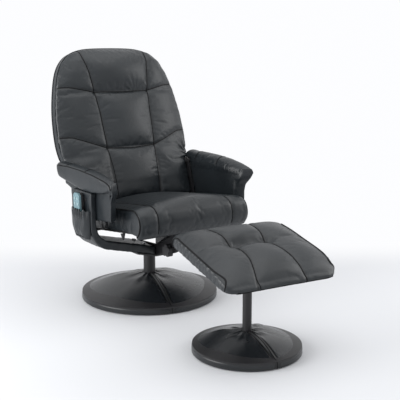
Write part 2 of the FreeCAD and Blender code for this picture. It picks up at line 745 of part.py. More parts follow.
# Seat, in its own frame: origin at the rear lower edge, forward is -Y, up is square to the board.
SEAT_FRAME = Placement(Vector(0, size("seat_rear_y"), size("seat_rear_z")),
                       Rotation(Vector(-1, 0, 0), size("seat_tilt")))
LINK_PIN = Vector(0, size("pivot_y") - size("link_forward"), size("pivot_z") - size("link_drop"))
SEAT_PIN = SEAT_FRAME.inverse().multVec(LINK_PIN)
SEAT_CLAMP = SEAT_FRAME.inverse().multVec(CLAMP)
seat_board = add("Box", Length="2 * (seat_half_width - seat_board_inset)", Width="seat_depth - seat_nose - 2",
                 Height="seat_board_thickness", at_x="seat_board_inset - seat_half_width",
                 at_y="seat_nose + 2 - seat_depth")
keep(seat_board, "seat_board", SEAT_FRAME)

# Each station across the seat: share of the half width, inset of the outline, share of the crown.
SEAT_STATIONS = [(-1.0, 9, 0.0), (-0.97, 2, 0.02), (-0.84, 0, 0.34), (-0.7, 0, 0.36), (-0.675, 5, 0.3),
                 (-0.65, 0, 0.5), (-0.35, 0, 0.86), (0.0, 0, 1.0)]
SEAT_STATIONS = SEAT_STATIONS + [(-x, inset, crown) for x, inset, crown in reversed(SEAT_STATIONS[:-1])]


def seat_section(share, inset, crown):
    """The seat cushion's side outline at one place across its width."""
    x = share * size("seat_half_width")
    depth = size("seat_depth") - inset
    top = size("seat_thickness") - inset + crown * size("seat_crown")
    low = size("seat_board_thickness")
    nose = size("seat_nose")
    corners = [(0, low), (nose + 2 - size("seat_depth"), low), (nose + 2 - size("seat_depth"), 0),
               (24 - depth, 0), (70 - depth, top), (-26, top - 2), (0, top - 24)]
    at = [Vector(x, y, z) for y, z in corners]
    return [line_edge(at[0], at[1]), line_edge(at[1], at[2]), line_edge(at[2], at[3]),
            arc_edge(at[3], at[4], Vector(0, -46, -12)), arc_edge(at[4], at[5], Vector(0, 0, 3)),
            arc_edge(at[5], at[6], Vector(0, 5, 5)), line_edge(at[6], at[0])]


motor_room = Part.makeCylinder(size("motor_radius") + size("motor_clearance"),
                               size("motor_thickness") + size("motor_clearance"))
SEAT_MOTORS = [Placement(Vector(x, -size("seat_depth") * 0.42, size("seat_board_thickness")), Rotation())
               for x in (-size("seat_half_width") * 0.45, size("seat_half_width") * 0.45)]
seat_form = lofted([seat_section(*station) for station in SEAT_STATIONS])
solid("seat_cushion", seat_form.cut(copies(motor_room, SEAT_MOTORS)), SEAT_FRAME)


def motor():
    """A sealed vibration motor: a round case on a thin fixing flange."""
    case = Part.makeCylinder(size("motor_radius") * 0.8, size("motor_thickness"))
    rim = Part.makeCylinder(size("motor_radius"), size("motor_thickness") * 0.25)
    return case.fuse(rim).removeSplitter()


solid("seat_motors", copies(motor(), SEAT_MOTORS), SEAT_FRAME)

# Clamp hangers under the seat board, and the rod that runs across both slots.
HANGER = size("bracket_offset") - size("hanger_gap") - size("hanger_thickness")
eye_y = SEAT_CLAMP.y
eye_z = SEAT_CLAMP.z


def hanger_shape():
    """A plate from the board down to the eye round the clamp rod, with a folded top."""
    left = -HANGER - size("hanger_thickness")
    spread = 44
    reach = 14
    corners = [(eye_y - spread, 0), (eye_y - reach, eye_z), (eye_y + reach, eye_z), (eye_y + spread, 0)]
    at = [Vector(left, y, z) for y, z in corners]
    edges = [line_edge(at[0], at[1]), arc_edge(at[1], at[2], Vector(0, 0, -reach)), line_edge(at[2], at[3]),
             line_edge(at[3], at[0])]
    plate = Part.Face(Part.Wire(edges)).extrude(Vector(size("hanger_thickness"), 0, 0))
    fold = Part.makeBox(24, 2 * spread, 3, Vector(left, eye_y - spread, -3))
    hole = Part.makeCylinder(size("rod_radius"), 100, Vector(left - 50, eye_y, eye_z), X_AXIS)
    return plate.fuse(fold).removeSplitter().cut(hole)


left_hanger = solid("clamp_hanger_left", hanger_shape(), SEAT_FRAME)
mirrored(left_hanger, "clamp_hanger_right")
ROD_LEFT = size("bracket_offset") + size("bracket_thickness") + size("knob_thickness") * 0.8
ROD_RIGHT = size("bracket_offset") + size("bracket_thickness") + 0.3
rod = Part.makeCylinder(size("rod_radius"), ROD_LEFT + ROD_RIGHT, CLAMP - X_AXIS * ROD_LEFT, X_AXIS)
rod_head = bolt(size("rod_radius") * 1.9, size("rod_radius") * 1.3, size("rod_radius"), size("rod_radius"))
rod_head.Placement = Placement(Vector(ROD_RIGHT, size("clamp_y"), size("clamp_z")), Rotation(Z_AXIS, X_AXIS))
solid("clamp_rod", rod.fuse(rod_head).removeSplitter())

# Lock knob: a lobed hand knob on the rod's left end.
KNOB_LOBES = 5
knob = new_body("knob_body")
hub = knob.newObject("PartDesign::Pad", "knob_hub")
hub.Profile = round_sketch(knob, "XY_Plane", ("0", "0"), "knob_radius - knob_lobe_radius * 0.7")
bind(hub, Length="knob_thickness")
doc.recompute()
lobe = knob.newObject("PartDesign::Pad", "knob_lobe")
lobe.Profile = round_sketch(knob, "XY_Plane", ("knob_radius - knob_lobe_radius", "0"), "knob_lobe_radius")
bind(lobe, Length="knob_thickness")
doc.recompute()
lobes = knob.newObject("PartDesign::PolarPattern", "knob_lobes")
lobes.Originals = [lobe]
lobes.Axis = (lobe.Profile[0], ["N_Axis"])
lobes.Angle = 360
lobes.Occurrences = KNOB_LOBES
knob.Tip = lobes
doc.recompute()
bore = knob.newObject("PartDesign::Pocket", "knob_bore")
bore.Profile = round_sketch(knob, "XY_Plane", ("0", "0"), "rod_radius + running_gap")
bore.Reversed = True
bind(bore, Length="knob_thickness * 0.85")
doc.recompute()
KNOB_GAP = 0.3
knob_seat = CLAMP - X_AXIS * (size("bracket_offset") + size("bracket_thickness") + KNOB_GAP)
keep(knob, "lock_knob", Placement(knob_seat, Rotation(Z_AXIS, Vector(-1, 0, 0))))

# Stop pegs under the seat's sides, and the lugs with the pins that join the seat to the back.
peg = Part.makeCone(3.5, 9, 24, Vector(0, 0, -24))
PEG_X = size("seat_half_width") - 20
PEG_SPOTS = [Placement(Vector(x, -0.59 * size("seat_depth"), 0), Rotation()) for x in (-PEG_X, PEG_X)]
solid("seat_stop_pegs", copies(peg, PEG_SPOTS), SEAT_FRAME)


def lug_shape():
    """An angle under the board whose upright carries the link pin."""
    thick = size("seat_lug_thickness")
    inner = size("seat_half_width") + size("seat_lug_gap")
    pin = size("link_pin_radius")
    corner = Vector(-inner - thick, SEAT_PIN.y - 22, -thick)
    upright = Part.makeBox(thick, 40, SEAT_PIN.z + 2 * pin + thick, corner)
    foot_plate = Part.makeBox(size("lug_foot"), 40, thick, corner)
    stub_foot = Vector(-inner, SEAT_PIN.y, SEAT_PIN.z)
    stub = Part.makeCylinder(pin, HINGE_OUTER + 3 - inner, stub_foot, -X_AXIS)
    return upright.multiFuse([foot_plate, stub]).removeSplitter()


left_lug = solid("seat_lug_left", lug_shape(), SEAT_FRAME)
mirrored(left_lug, "seat_lug_right")

# Control box for the motors, under the board at the right rear, with its two sockets.
control_start = "bracket_offset + control_room"
control = add("Box", Length="seat_half_width - lug_foot - control_gap - (%s)" % control_start,
              Width="control_width", Height="control_thickness", at_x=control_start,
              at_y="-control_width - 20", at_z="-control_thickness")
keep(control, "control_box", SEAT_FRAME)


def socket(radius):
    """A panel socket: a short threaded barrel with a round mouth."""
    barrel = Part.makeCylinder(radius, 6)
    return barrel.cut(Part.makeCylinder(radius * 0.6, 5, Vector(0, 0, 1)))


SOCKET_TURN = Rotation(Z_AXIS, Y_AXIS)
CONTROL_START = size("bracket_offset") + size("control_room")
CONTROL_END = size("seat_half_width") - size("lug_foot") - size("control_gap")
SOCKETS = [Placement(Vector(CONTROL_START + (CONTROL_END - CONTROL_START) * share, -20,
                            -size("control_thickness") / 2), SOCKET_TURN) for share in (0.3, 0.7)]
solid("control_sockets", copies(socket(7), SOCKETS), SEAT_FRAME)

# Back, in its own frame: origin at the recline pivot, forward is -Y and up runs along the back.
BACK_FRAME = Placement(Vector(0, size("pivot_y"), size("pivot_z")),
                       Rotation(Vector(-1, 0, 0), size("back_lean")))
BACK_PIN = BACK_FRAME.inverse().multVec(LINK_PIN)
board_rear = "(back_board_depth + back_board_thickness)"
back_board = padded("back_board_body", "XZ_Plane", [
    ("-back_low_half_width + 18", "8 - back_drop"), ("back_low_half_width - 18", "8 - back_drop"),
    ("back_low_half_width - 18", "14"), ("back_half_width - 34", "70"),
    ("back_half_width - 50", "back_height * 0.66"),
    ("back_half_width - 150", "back_height - 40"), ("150 - back_half_width", "back_height - 40"),
    ("50 - back_half_width", "back_height * 0.66"), ("34 - back_half_width", "70"),
    ("18 - back_low_half_width", "14")], "back_board_thickness")
BOARD_LIFT = Placement(Vector(0, size("back_board_depth") + size("back_board_thickness"), 0), Rotation())
keep(back_board, "back_board", BACK_FRAME.multiply(BOARD_LIFT))

# Each station up the back: height, half width, half width of the middle column, depth of the column
# seams behind the pivot plane, crown of the side columns, crown of the middle column, depth of the edge.
# Heights and widths are shares: below the pivot of the drop, above it of the height and the half width.
BACK_STATIONS = [
    (-1.0, 0.95, 0.40, 16, 0.2, 0.2, 0.6), (-0.9, 0.99, 0.40, 2, 0.4, 0.4, 0.9),
    (-0.45, 1.0, 0.41, -7, 0.7, 0.7, 1.0), (0.01, 1.0, 0.43, -7, 0.7, 0.8, 1.0),
    (0.08, 0.957, 0.365, -6, 0.7, 0.8, 1.1), (0.14, 0.985, 0.37, -4, 0.65, 0.5, 1.05),
    (0.16, 0.99, 0.371, 2, 0.6, 0.2, 1.05), (0.18, 0.993, 0.373, -4, 0.6, 0.5, 1.05),
    (0.275, 1.0, 0.38, -5, 0.6, 0.9, 1.05), (0.45, 0.978, 0.395, -5, 0.6, 0.95, 1.0),
    (0.59, 0.94, 0.41, -3, 0.5, 0.6, 0.95), (0.62, 0.93, 0.414, 5, 0.35, 0.2, 0.95),
    (0.65, 0.92, 0.42, -3, 0.5, 0.6, 0.93), (0.78, 0.852, 0.455, -6, 0.6, 1.3, 0.9),
    (0.88, 0.765, 0.49, 0, 0.55, 1.25, 0.9), (0.95, 0.64, 0.5, 18, 0.3, 0.8, 1.0),
    (0.985, 0.47, 0.40, 30, 0.2, 0.4, 1.12), (1.0, 0.25, 0.2, 42, 0.1, 0.1, 1.3)]


def back_level(share, width):
    """The height and half width of one station."""
    if share < 0:
        return share * size("back_drop"), width * size("back_low_half_width")
    full = "back_low_half_width" if share < 0.05 else "back_half_width"
    return share * size("back_height"), width * size(full)


def back_section(share, width, column, seam, side_crown, middle_crown, edge):
    """The front cushion's outline across the back at one height."""
    z, half = back_level(share, width)
    middle = column * (size("back_low_half_width") if share < 0.05 else size("back_half_width"))
    rear = size("back_board_depth")
    front = min(edge * size("back_edge_depth"), rear - 3)
    seam = min(seam, rear - 4)
    crown = size("back_crown")
    at = [Vector(x, y, z) for x, y in
          ((-half, rear), (-half, front), (-middle, seam), (middle, seam), (half, front), (half, rear))]
    return [arc_edge(at[0], at[1], Vector(-3, 0, 0)),
            arc_edge(at[1], at[2], Vector(-2, -crown * side_crown, 0)),
            arc_edge(at[2], at[3], Vector(0, -crown * middle_crown, 0)),
            arc_edge(at[3], at[4], Vector(2, -crown * side_crown, 0)),
            arc_edge(at[4], at[5], Vector(3, 0, 0)), line_edge(at[5], at[0])]


BACK_MOTORS = [Placement(Vector(x, size("back_board_depth"), z), Rotation(Z_AXIS, -Y_AXIS))
               for z in (0.1 * size("back_height"), 0.42 * size("back_height"))
               for x in (-0.28 * size("back_half_width"), 0.28 * size("back_half_width"))]
back_form = lofted([back_section(*station) for station in BACK_STATIONS])
solid("back_cushion", back_form.cut(copies(motor_room, BACK_MOTORS)), BACK_FRAME)
solid("back_motors", copies(motor(), BACK_MOTORS), BACK_FRAME)


def rear_section(share, width, column, seam, side_crown, middle_crown, edge):
    """The rear panel's outline across the back at one height: flat in front, crowned behind."""
    z, half = back_level(share, width)
    front = size("back_board_depth") + size("back_board_thickness") + size("hinge_flange")
    thick = size("back_rear_thickness") * min(1.0, 0.35 + 0.65 * width ** 2)
    at = [Vector(x, y, z) for x, y in ((-half, front), (half, front), (half - 8, front + thick * 0.6),
                                       (8 - half, front + thick * 0.6))]
    return [line_edge(at[0], at[1]), arc_edge(at[1], at[2], Vector(2, 2, 0)),
            arc_edge(at[2], at[3], Vector(0, thick * 0.4, 0)), arc_edge(at[3], at[0], Vector(-2, 2, 0))]


# The rear panel hangs lower than the front, down behind the seat.
REAR_STATIONS = [(-size("back_tail") / size("back_drop"),) + BACK_STATIONS[0][1:]] + BACK_STATIONS[2:]
solid("back_panel", lofted([rear_section(*station) for station in REAR_STATIONS]), BACK_FRAME)


# Hinge plates: from the back board's rear face to the recline pivot and down to the seat's link pin.
def hinge_shape():
    """The left plate with its flange behind the board, in the back's frame."""
    left = -HINGE_OUTER
    rear = size("back_board_depth") + size("back_board_thickness")
    eye = size("link_pin_radius") + size("link_clearance")
    boss = 16
    lobe_reach = eye + 7
    corners = [(-boss, 0), (boss, 0), (rear + 4, -12), (rear + 4, -78),
               (BACK_PIN.y + lobe_reach, BACK_PIN.z), (BACK_PIN.y - lobe_reach, BACK_PIN.z)]
    at = [Vector(left, y, z) for y, z in corners]
    edges = [arc_edge(at[0], at[1], Vector(0, 0, boss)), line_edge(at[1], at[2]), line_edge(at[2], at[3]),
             line_edge(at[3], at[4]), arc_edge(at[4], at[5], Vector(0, 0, -lobe_reach)),
             line_edge(at[5], at[0])]
    plate = Part.Face(Part.Wire(edges)).extrude(Vector(size("hinge_thickness"), 0, 0))
    flange_reach = 66
    flange = Part.makeBox(flange_reach, size("hinge_flange"), 66, Vector(left, rear, -78))
    pivot = Part.makeCylinder(size("pivot_radius") + size("running_gap"), 40, Vector(left - 10, 0, 0), X_AXIS)
    link = Part.makeCylinder(eye, 40, Vector(left - 10, BACK_PIN.y, BACK_PIN.z), X_AXIS)
    return plate.fuse(flange).removeSplitter().cut(pivot).cut(link)


left_hinge = solid("back_hinge_left", hinge_shape(), BACK_FRAME)
mirrored(left_hinge, "back_hinge_right")

# Handset, in its own frame: origin at its foot, keys face -X and it is drawn up along Z.
HANDSET_X = STRAP_OUTER + size("handset_gap") + size("handset_thickness") / 2
HANDSET_FOOT = Vector(-HANDSET_X, size("handset_y"), size("handset_low"))
HANDSET_FRAME = Placement(HANDSET_FOOT, Rotation(Vector(0, -1, 0), size("handset_tilt")))
half_case = "handset_thickness / 2"


def case_half(name, at_x):
    body = padded(name, "YZ_Plane", [
        ("-handset_width / 2", "8"), ("8 - handset_width / 2", "0"), ("handset_width / 2 - 8", "0"),
        ("handset_width / 2", "8"), ("handset_width / 2", "handset_length - 10"),
        ("handset_width / 2 - 10", "handset_length"), ("10 - handset_width / 2", "handset_length"),
        ("-handset_width / 2", "handset_length - 10")], half_case)
    body.Placement = Placement(Vector(at_x, 0, 0), Rotation())
    return body


keep(case_half("handset_rear_body", 0), "handset_rear", HANDSET_FRAME)
KEY_SPOTS = {"key_power": (-10.5, 130), "key_mode": (10.5, 130),
             "key_strength": (-10.5, 110), "key_heat": (10.5, 110)}
front_case = case_half("handset_front_body", -size("handset_thickness") / 2)
well_depth = "key_height - key_proud + 2 * key_travel"
key_wells = [turned(add("Cylinder", Radius="key_radius + key_clearance", Height=well_depth,
                        at_x="-" + half_case, at_y=str(y), at_z=str(z)), Y_AXIS, 90)
             for y, z in KEY_SPOTS.values()]
keep(cut(front_case, *key_wells), "handset_front", HANDSET_FRAME)
for label, (y, z) in KEY_SPOTS.items():
    key = add("Cylinder", Radius="key_radius", Height="key_height")
    spot = Placement(Vector(-size("handset_thickness") / 2 - size("key_proud"), y, z), Rotation(Y_AXIS, 90))
    keep(key, label, HANDSET_FRAME.multiply(spot))

# Footstool top: a spindle with a tilted plate, a board and the tufted cushion.
STOOL_TILT = math.radians(size("stool_tilt"))
PLATE_CLEAR = 4
plate_drop = size("stool_plate_half") * math.tan(STOOL_TILT)
plate_drop += size("stool_plate_thickness") / math.cos(STOOL_TILT)
STOOL_TOP_Z = size("stool_post_top") + plate_drop + PLATE_CLEAR
STOOL_TURN = Rotation(Z_AXIS, size("stool_yaw")).multiply(Rotation(X_AXIS, size("stool_tilt")))
STOOL_TOP = Placement(Vector(size("stool_x"), size("stool_y"), STOOL_TOP_Z), STOOL_TURN)
STOOL_SHIFT = Placement(Vector(size("stool_shift_x"), size("stool_shift_y"), 0), Rotation())
STOOL_PAD = STOOL_TOP.multiply(STOOL_SHIFT)
screw_spot = size("stool_plate_half") - 14
SCREWS = [Placement(Vector(x, y, -size("stool_plate_thickness")), Rotation(X_AXIS, 180))
          for x in (-screw_spot, screw_spot) for y in (-screw_spot, screw_spot)]
screw_length = size("stool_plate_thickness") + size("stool_board_thickness") * 0.8
SCREW_GAP = 0.1
screw_hole = Part.makeCylinder(size("screw_radius") + SCREW_GAP, screw_length + SCREW_GAP,
                               Vector(0, 0, -screw_length - SCREW_GAP))


def stool_bracket():
    """A spindle, a collar on the post's end and a wedge block under the tilted plate."""
    post = size("stool_post_top")
    radius = size("stool_spindle_radius")
    bushed = 2 * size("bush_length")
    shaft = Part.makeCylinder(radius, bushed + 6, Vector(0, 0, post - bushed))
    collar = Part.makeCylinder(size("stool_post_dia") / 2, STOOL_TOP_Z + 40 - post, Vector(0, 0, post))
    half = size("stool_plate_half")
    tilt = Rotation(X_AXIS, size("stool_tilt"))
    plate = Part.makeBox(2 * half, 2 * half, size("stool_plate_thickness"),
                         Vector(-half, -half, -size("stool_plate_thickness")))
    above = Part.makeBox(4 * half, 4 * half, 200, Vector(-2 * half, -2 * half, 0))
    drilled = plate.cut(copies(screw_hole, SCREWS))
    for piece in (drilled, above):
        piece.Placement = Placement(Vector(0, 0, STOOL_TOP_Z), tilt)
    column = collar.cut(above)
    return shaft.multiFuse([column, drilled]).removeSplitter()


STOOL_SPUN = Placement(Vector(), Rotation(Z_AXIS, size("stool_yaw")))
solid("stool_bracket", stool_bracket(), STOOL_FRAME.multiply(STOOL_SPUN))
stool_board = add("Box", Length="2 * (stool_half_width - stool_board_inset)",
                  Width="2 * (stool_half_depth - stool_board_inset)", Height="stool_board_thickness",
                  at_x="stool_shift_x + stool_board_inset - stool_half_width",
                  at_y="stool_shift_y + stool_board_inset - stool_half_depth")
screw_holes = doc.addObject("Part::Feature", "screw_holes")
screw_holes.Shape = copies(screw_hole, SCREWS)
keep(cut(stool_board, screw_holes), "stool_board", STOOL_TOP)
one_screw = bolt(size("screw_radius") * 2, 3, size("screw_radius"), screw_length)
solid("stool_screws", copies(one_screw, SCREWS), STOOL_TOP)

# Each station across the stool: share of the half width, inset, share of the crown, depth of the middle tuft.
STOOL_STATIONS = [(-1.0, 30, 0.0, 0), (-0.975, 18, 0.0, 0), (-0.91, 6, 0.12, 0), (-0.78, 0, 0.45, 0),
                  (-0.5, 0, 0.8, 3), (-0.34, 0, 0.84, 15), (-0.2, 0, 0.95, 11), (0.0, 0, 1.0, 8)]
STOOL_STATIONS += [(-x, inset, crown, tuft) for x, inset, crown, tuft in reversed(STOOL_STATIONS[:-1])]


def stool_section(share, inset, crown, tuft):
    """The stool cushion's side outline at one place across its width: flat below, rolled at both ends."""
    x = share * size("stool_half_width")
    half = size("stool_half_depth") - inset
    low = size("stool_board_thickness")
    roll = size("stool_roll")
    top = size("stool_edge") - 0.15 * inset + crown * size("stool_crown")
    end = size("stool_edge") - 0.15 * inset + 0.4 * crown * size("stool_crown")
    rise = 0.2 * crown * size("stool_crown") + 1
    corners = [(half - 0.7 * roll, low), (half - roll, end), (size("stool_tuft_y"), top - tuft),
               (roll - half, end), (0.8 * roll - half, low)]
    at = [Vector(x, y, z) for y, z in corners]
    lift = Vector(0, 0, rise + 0.35 * tuft)
    return [arc_edge(at[0], at[1], Vector(0, 0.8 * roll, 0)), arc_edge(at[1], at[2], lift),
            arc_edge(at[2], at[3], lift), arc_edge(at[3], at[4], Vector(0, -0.9 * roll, 0)),
            line_edge(at[4], at[0])]


solid("stool_cushion", lofted([stool_section(*station) for station in STOOL_STATIONS]), STOOL_PAD)

# Every object has to be sound, and every sub-part closed, before anything is written.
doc.recompute()
broken = [thing.Label for thing in doc.Objects if "Invalid" in thing.State or "Error" in thing.State]
for thing in SUB_PARTS:
    if thing.Shape.isNull() or not thing.Shape.isValid() or not thing.Shape.Solids:
        broken.append(thing.Label)
if broken:
    raise RuntimeError("not sound: " + ", ".join(broken))
os.makedirs("parts", exist_ok=True)
for thing in SUB_PARTS:
    thing.Shape.exportStep("parts/%s.step" % thing.Label)
    print(thing.Label, len(thing.Shape.Solids), round(thing.Shape.Volume / 1000, 1))
print("seat travel %.2f mm along %.3f degrees" % (TRAVEL, math.degrees(SLIDE_ANGLE)))
print("link pin at", LINK_PIN, "handset foot at", HANDSET_FOOT)
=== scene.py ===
import math

import bpy
import numpy as np
from mathutils import Matrix, Vector


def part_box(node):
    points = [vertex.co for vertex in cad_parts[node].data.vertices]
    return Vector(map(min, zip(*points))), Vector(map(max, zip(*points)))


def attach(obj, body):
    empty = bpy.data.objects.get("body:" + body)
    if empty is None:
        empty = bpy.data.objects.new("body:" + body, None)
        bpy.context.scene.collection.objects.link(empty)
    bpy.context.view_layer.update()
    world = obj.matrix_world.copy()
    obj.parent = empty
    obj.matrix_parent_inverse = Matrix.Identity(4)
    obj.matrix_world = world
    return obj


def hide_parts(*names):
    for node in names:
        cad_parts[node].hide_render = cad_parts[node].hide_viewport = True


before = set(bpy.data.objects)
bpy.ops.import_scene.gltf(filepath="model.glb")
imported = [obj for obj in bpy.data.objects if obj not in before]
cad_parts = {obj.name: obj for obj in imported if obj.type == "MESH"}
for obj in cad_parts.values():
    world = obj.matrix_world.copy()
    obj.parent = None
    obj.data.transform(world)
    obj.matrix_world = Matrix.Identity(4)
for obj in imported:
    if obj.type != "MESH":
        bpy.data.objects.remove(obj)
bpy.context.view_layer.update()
bpy.ops.object.select_all(action="DESELECT")

# Studio: a pale sweep that turns white behind the chair, seen by a camera about one metre up.
# The lamps are broad and plain, so colours render about as they are written.
EYE = (-1.6654, -2.6779, 1.0016)
LOOK = math.radians(-35.63)
PITCH = math.radians(10.95)
SENSOR_WIDTH = 36
LENS = 71.77
bpy.ops.object.camera_add(location=EYE, rotation=(math.radians(90) - PITCH, 0, LOOK))
camera = bpy.context.object
camera.data.sensor_width = SENSOR_WIDTH
camera.data.lens = LENS
bpy.context.scene.camera = camera
bpy.context.scene.view_settings.view_transform = "Standard"


class Wire:
    """An output in a finish's node tree; sums on it add Math nodes."""

    def __init__(self, finish, socket):
        self.finish = finish
        self.socket = socket

    def sum(self, operation, other):
        return self.finish.node("ShaderNodeMath", {"operation": operation}, {0: self, 1: other})

    def __add__(self, other):
        return self.sum("ADD", other)

    def __mul__(self, other):
        return self.sum("MULTIPLY", other)

    __radd__ = __add__


class Finish:
    """A material, or the world, whose nodes are added one by one."""

    def __init__(self, name, owner=None):
        self.material = owner or bpy.data.materials.new(name)
        self.material.use_nodes = True
        self.tree = self.material.node_tree
        self.shader = self.tree.nodes.get("Principled BSDF")

    def feed(self, socket, value):
        if isinstance(value, Wire):
            self.tree.links.new(value.socket, socket)
        else:
            socket.default_value = value

    def node(self, kind, settings, links, output=0):
        made = self.tree.nodes.new(kind)
        for key, value in settings.items():
            setattr(made, key, value)
        for key, value in links.items():
            self.feed(made.inputs[key], value)
        return Wire(self, made.outputs[output])

    def set(self, **values):
        for key, value in values.items():
            self.feed(self.shader.inputs[key.replace("_", " ")], value)

    def blend(self, share, first, second):
        return self.node("ShaderNodeMix", {"data_type": "RGBA"}, {0: share, 6: first, 7: second}, 2)

    def fade(self, value, ends):
        """0 to 1 between two values, eased at both ends."""
        return self.node("ShaderNodeMapRange", {"interpolation_type": "SMOOTHSTEP"},
                         {"Value": value, "From Min": ends[0], "From Max": ends[1]})

    def noise(self, place, scale, detail):
        return self.node("ShaderNodeTexNoise", {}, {"Vector": place, "Scale": scale, "Detail": detail}, "Fac")


WHITE = (0.98, 0.985, 1.0, 1)
FLOOR_TONE = (0.69, 0.70, 0.72, 1)
FLOOR_ROUGH = 0.6
FLOOR_SPAN = 60
FADE_BEHIND = (0.35, 0.85)
FADE_ROUND = (1.7, 3.2)
bpy.ops.mesh.primitive_plane_add(size=FLOOR_SPAN)
floor = bpy.context.object
floor.name = "floor"
sweep = Finish("pale_sweep")
spot = sweep.node("ShaderNodeTexCoord", {}, {}, "Object")
away = sweep.node("ShaderNodeVectorMath", {"operation": "DOT_PRODUCT"},
                  {0: spot, 1: (-math.sin(LOOK), math.cos(LOOK), 0)}, "Value")
reach = sweep.node("ShaderNodeVectorMath", {"operation": "LENGTH"}, {0: spot}, "Value")
pale = sweep.node("ShaderNodeMath", {"operation": "MAXIMUM"},
                  {0: sweep.fade(away, FADE_BEHIND), 1: sweep.fade(reach, FADE_ROUND)})
sweep.set(Base_Color=FLOOR_TONE, Roughness=FLOOR_ROUGH)
seen = sweep.node("ShaderNodeLightPath", {}, {}, "Is Camera Ray")
white = sweep.node("ShaderNodeEmission", {}, {"Color": WHITE, "Strength": 1.0})
mixed = sweep.node("ShaderNodeMixShader", {},
                   {0: pale * seen, 1: Wire(sweep, sweep.shader.outputs[0]), 2: white})
sweep.tree.links.new(mixed.socket, sweep.tree.nodes["Material Output"].inputs["Surface"])
floor.data.materials.append(sweep.material)

WORLD_LIGHT = 0.85
world = bpy.data.worlds.new("studio")
bpy.context.scene.world = world
sky = Finish("studio", world)
path = sky.tree.nodes.new("ShaderNodeLightPath")
shown = sky.node("ShaderNodeMath", {"operation": "MAXIMUM"},
                 {0: Wire(sky, path.outputs["Is Camera Ray"]),
                  1: Wire(sky, path.outputs["Is Transmission Ray"])})
backdrop = sky.tree.nodes["Background"]
sky.feed(backdrop.inputs["Color"], WHITE)
sky.feed(backdrop.inputs["Strength"], WORLD_LIGHT + shown * (1 - WORLD_LIGHT))
LAMPS = [("overhead", (0.0, -0.6, 3.0), (-6, 0, 0), 2.8, 26),
         ("window_left", (-2.6, 0.3, 1.3), (0, -74, -6), 2.0, 60),
         ("window_right", (2.4, -1.2, 1.7), (0, 62, -18), 1.6, 17)]
for label, place, turn, width, power in LAMPS:
    bpy.ops.object.light_add(type="AREA", location=place, rotation=[math.radians(a) for a in turn])
    lamp = bpy.context.object
    lamp.name = label
    lamp.data.size = width
    lamp.data.energy = power

# Finishes: two hides, powder coat and moulded plastic, plated and cast metal, and dull thread.
CLOUD_SCALE = 5.5
CREASE_SCALE = 34.0
SCUFF_SCALE = 14.0
STREAK_SCALE = 60.0
GRAIN_CAP = 0.28
GRAIN_HEIGHT = 0.0006
PEEL_HEIGHT = 0.0003


def hide_finish(name, dark, light, rough, grain):
    """Charcoal synthetic hide: pebbled grain, cloudy tone, dull in the seams, darker on seam lines and with
    painted shade in seam grooves and fold valleys.
    """
    hide = Finish(name)
    place = hide.node("ShaderNodeTexCoord", {}, {}, "Object")
    pebble = hide.node("ShaderNodeTexVoronoi", {"feature": "DISTANCE_TO_EDGE"},
                       {"Vector": place, "Scale": 1 / grain}, "Distance")
    cloud = hide.noise(place, CLOUD_SCALE, 4.0)
    crease = hide.node("ShaderNodeTexNoise", {"noise_type": "RIDGED_MULTIFRACTAL"},
                       {"Vector": place, "Scale": CREASE_SCALE, "Detail": 3.0, "Distortion": 0.8}, "Fac")
    sewn = hide.node("ShaderNodeAttribute", {"attribute_name": "sewn"}, {}, "Fac")
    # Darker where the seam attribute is high: a dark seam line, plus painted shade in seam grooves, troughs
    # and gather valleys.
    shade = hide.node("ShaderNodeMath", {"operation": "SUBTRACT", "use_clamp": True},
                      {0: cloud * 0.8 + 0.2, 1: sewn * 1.2})
    hide.set(Base_Color=hide.blend(shade, dark, light))
    hide.set(Roughness=rough - 0.09 + cloud * 0.16 + sewn * 0.2)
    grains = hide.node("ShaderNodeMath", {"operation": "MINIMUM"}, {0: pebble, 1: GRAIN_CAP})
    relief = grains * 1.6 + crease * 0.25
    hide.set(Normal=hide.node("ShaderNodeBump", {},
                              {"Strength": 0.35, "Distance": GRAIN_HEIGHT, "Height": relief}))
    return hide.material


def coat_finish(name, colour, rough, fleck, specular=0.5):
    """Powder coat or moulded plastic: a fine orange peel and uneven dullness."""
    coat = Finish(name)
    place = coat.node("ShaderNodeTexCoord", {}, {}, "Object")
    peel = coat.noise(place, 1 / fleck, 2.0)
    scuff = coat.noise(place, SCUFF_SCALE, 5.0)
    worn = tuple(min(1.0, c * 1.7 + 0.004) for c in colour[:3]) + (1,)
    coat.set(Base_Color=coat.blend(scuff * scuff, colour, worn), Roughness=rough - 0.1 + scuff * 0.2)
    coat.set(Specular_IOR_Level=specular)
    coat.set(Normal=coat.node("ShaderNodeBump", {},
                              {"Strength": 0.2, "Distance": PEEL_HEIGHT, "Height": peel}))
    return coat.material


def plate_finish(name, colour, rough, along):
    """Plated or cast metal with drawn streaks along one axis."""
    metal = Finish(name)
    place = metal.node("ShaderNodeTexCoord", {}, {}, "Object")
    stretched = metal.node("ShaderNodeMapping", {}, {"Vector": place, "Scale": along})
    streak = metal.noise(stretched, STREAK_SCALE, 3.0)
    dull = tuple(c * 0.7 for c in colour[:3]) + (1,)
    metal.set(Base_Color=metal.blend(streak, dull, colour))
    metal.set(Metallic=1.0, Roughness=rough - 0.12 + streak * 0.25)
    return metal.material


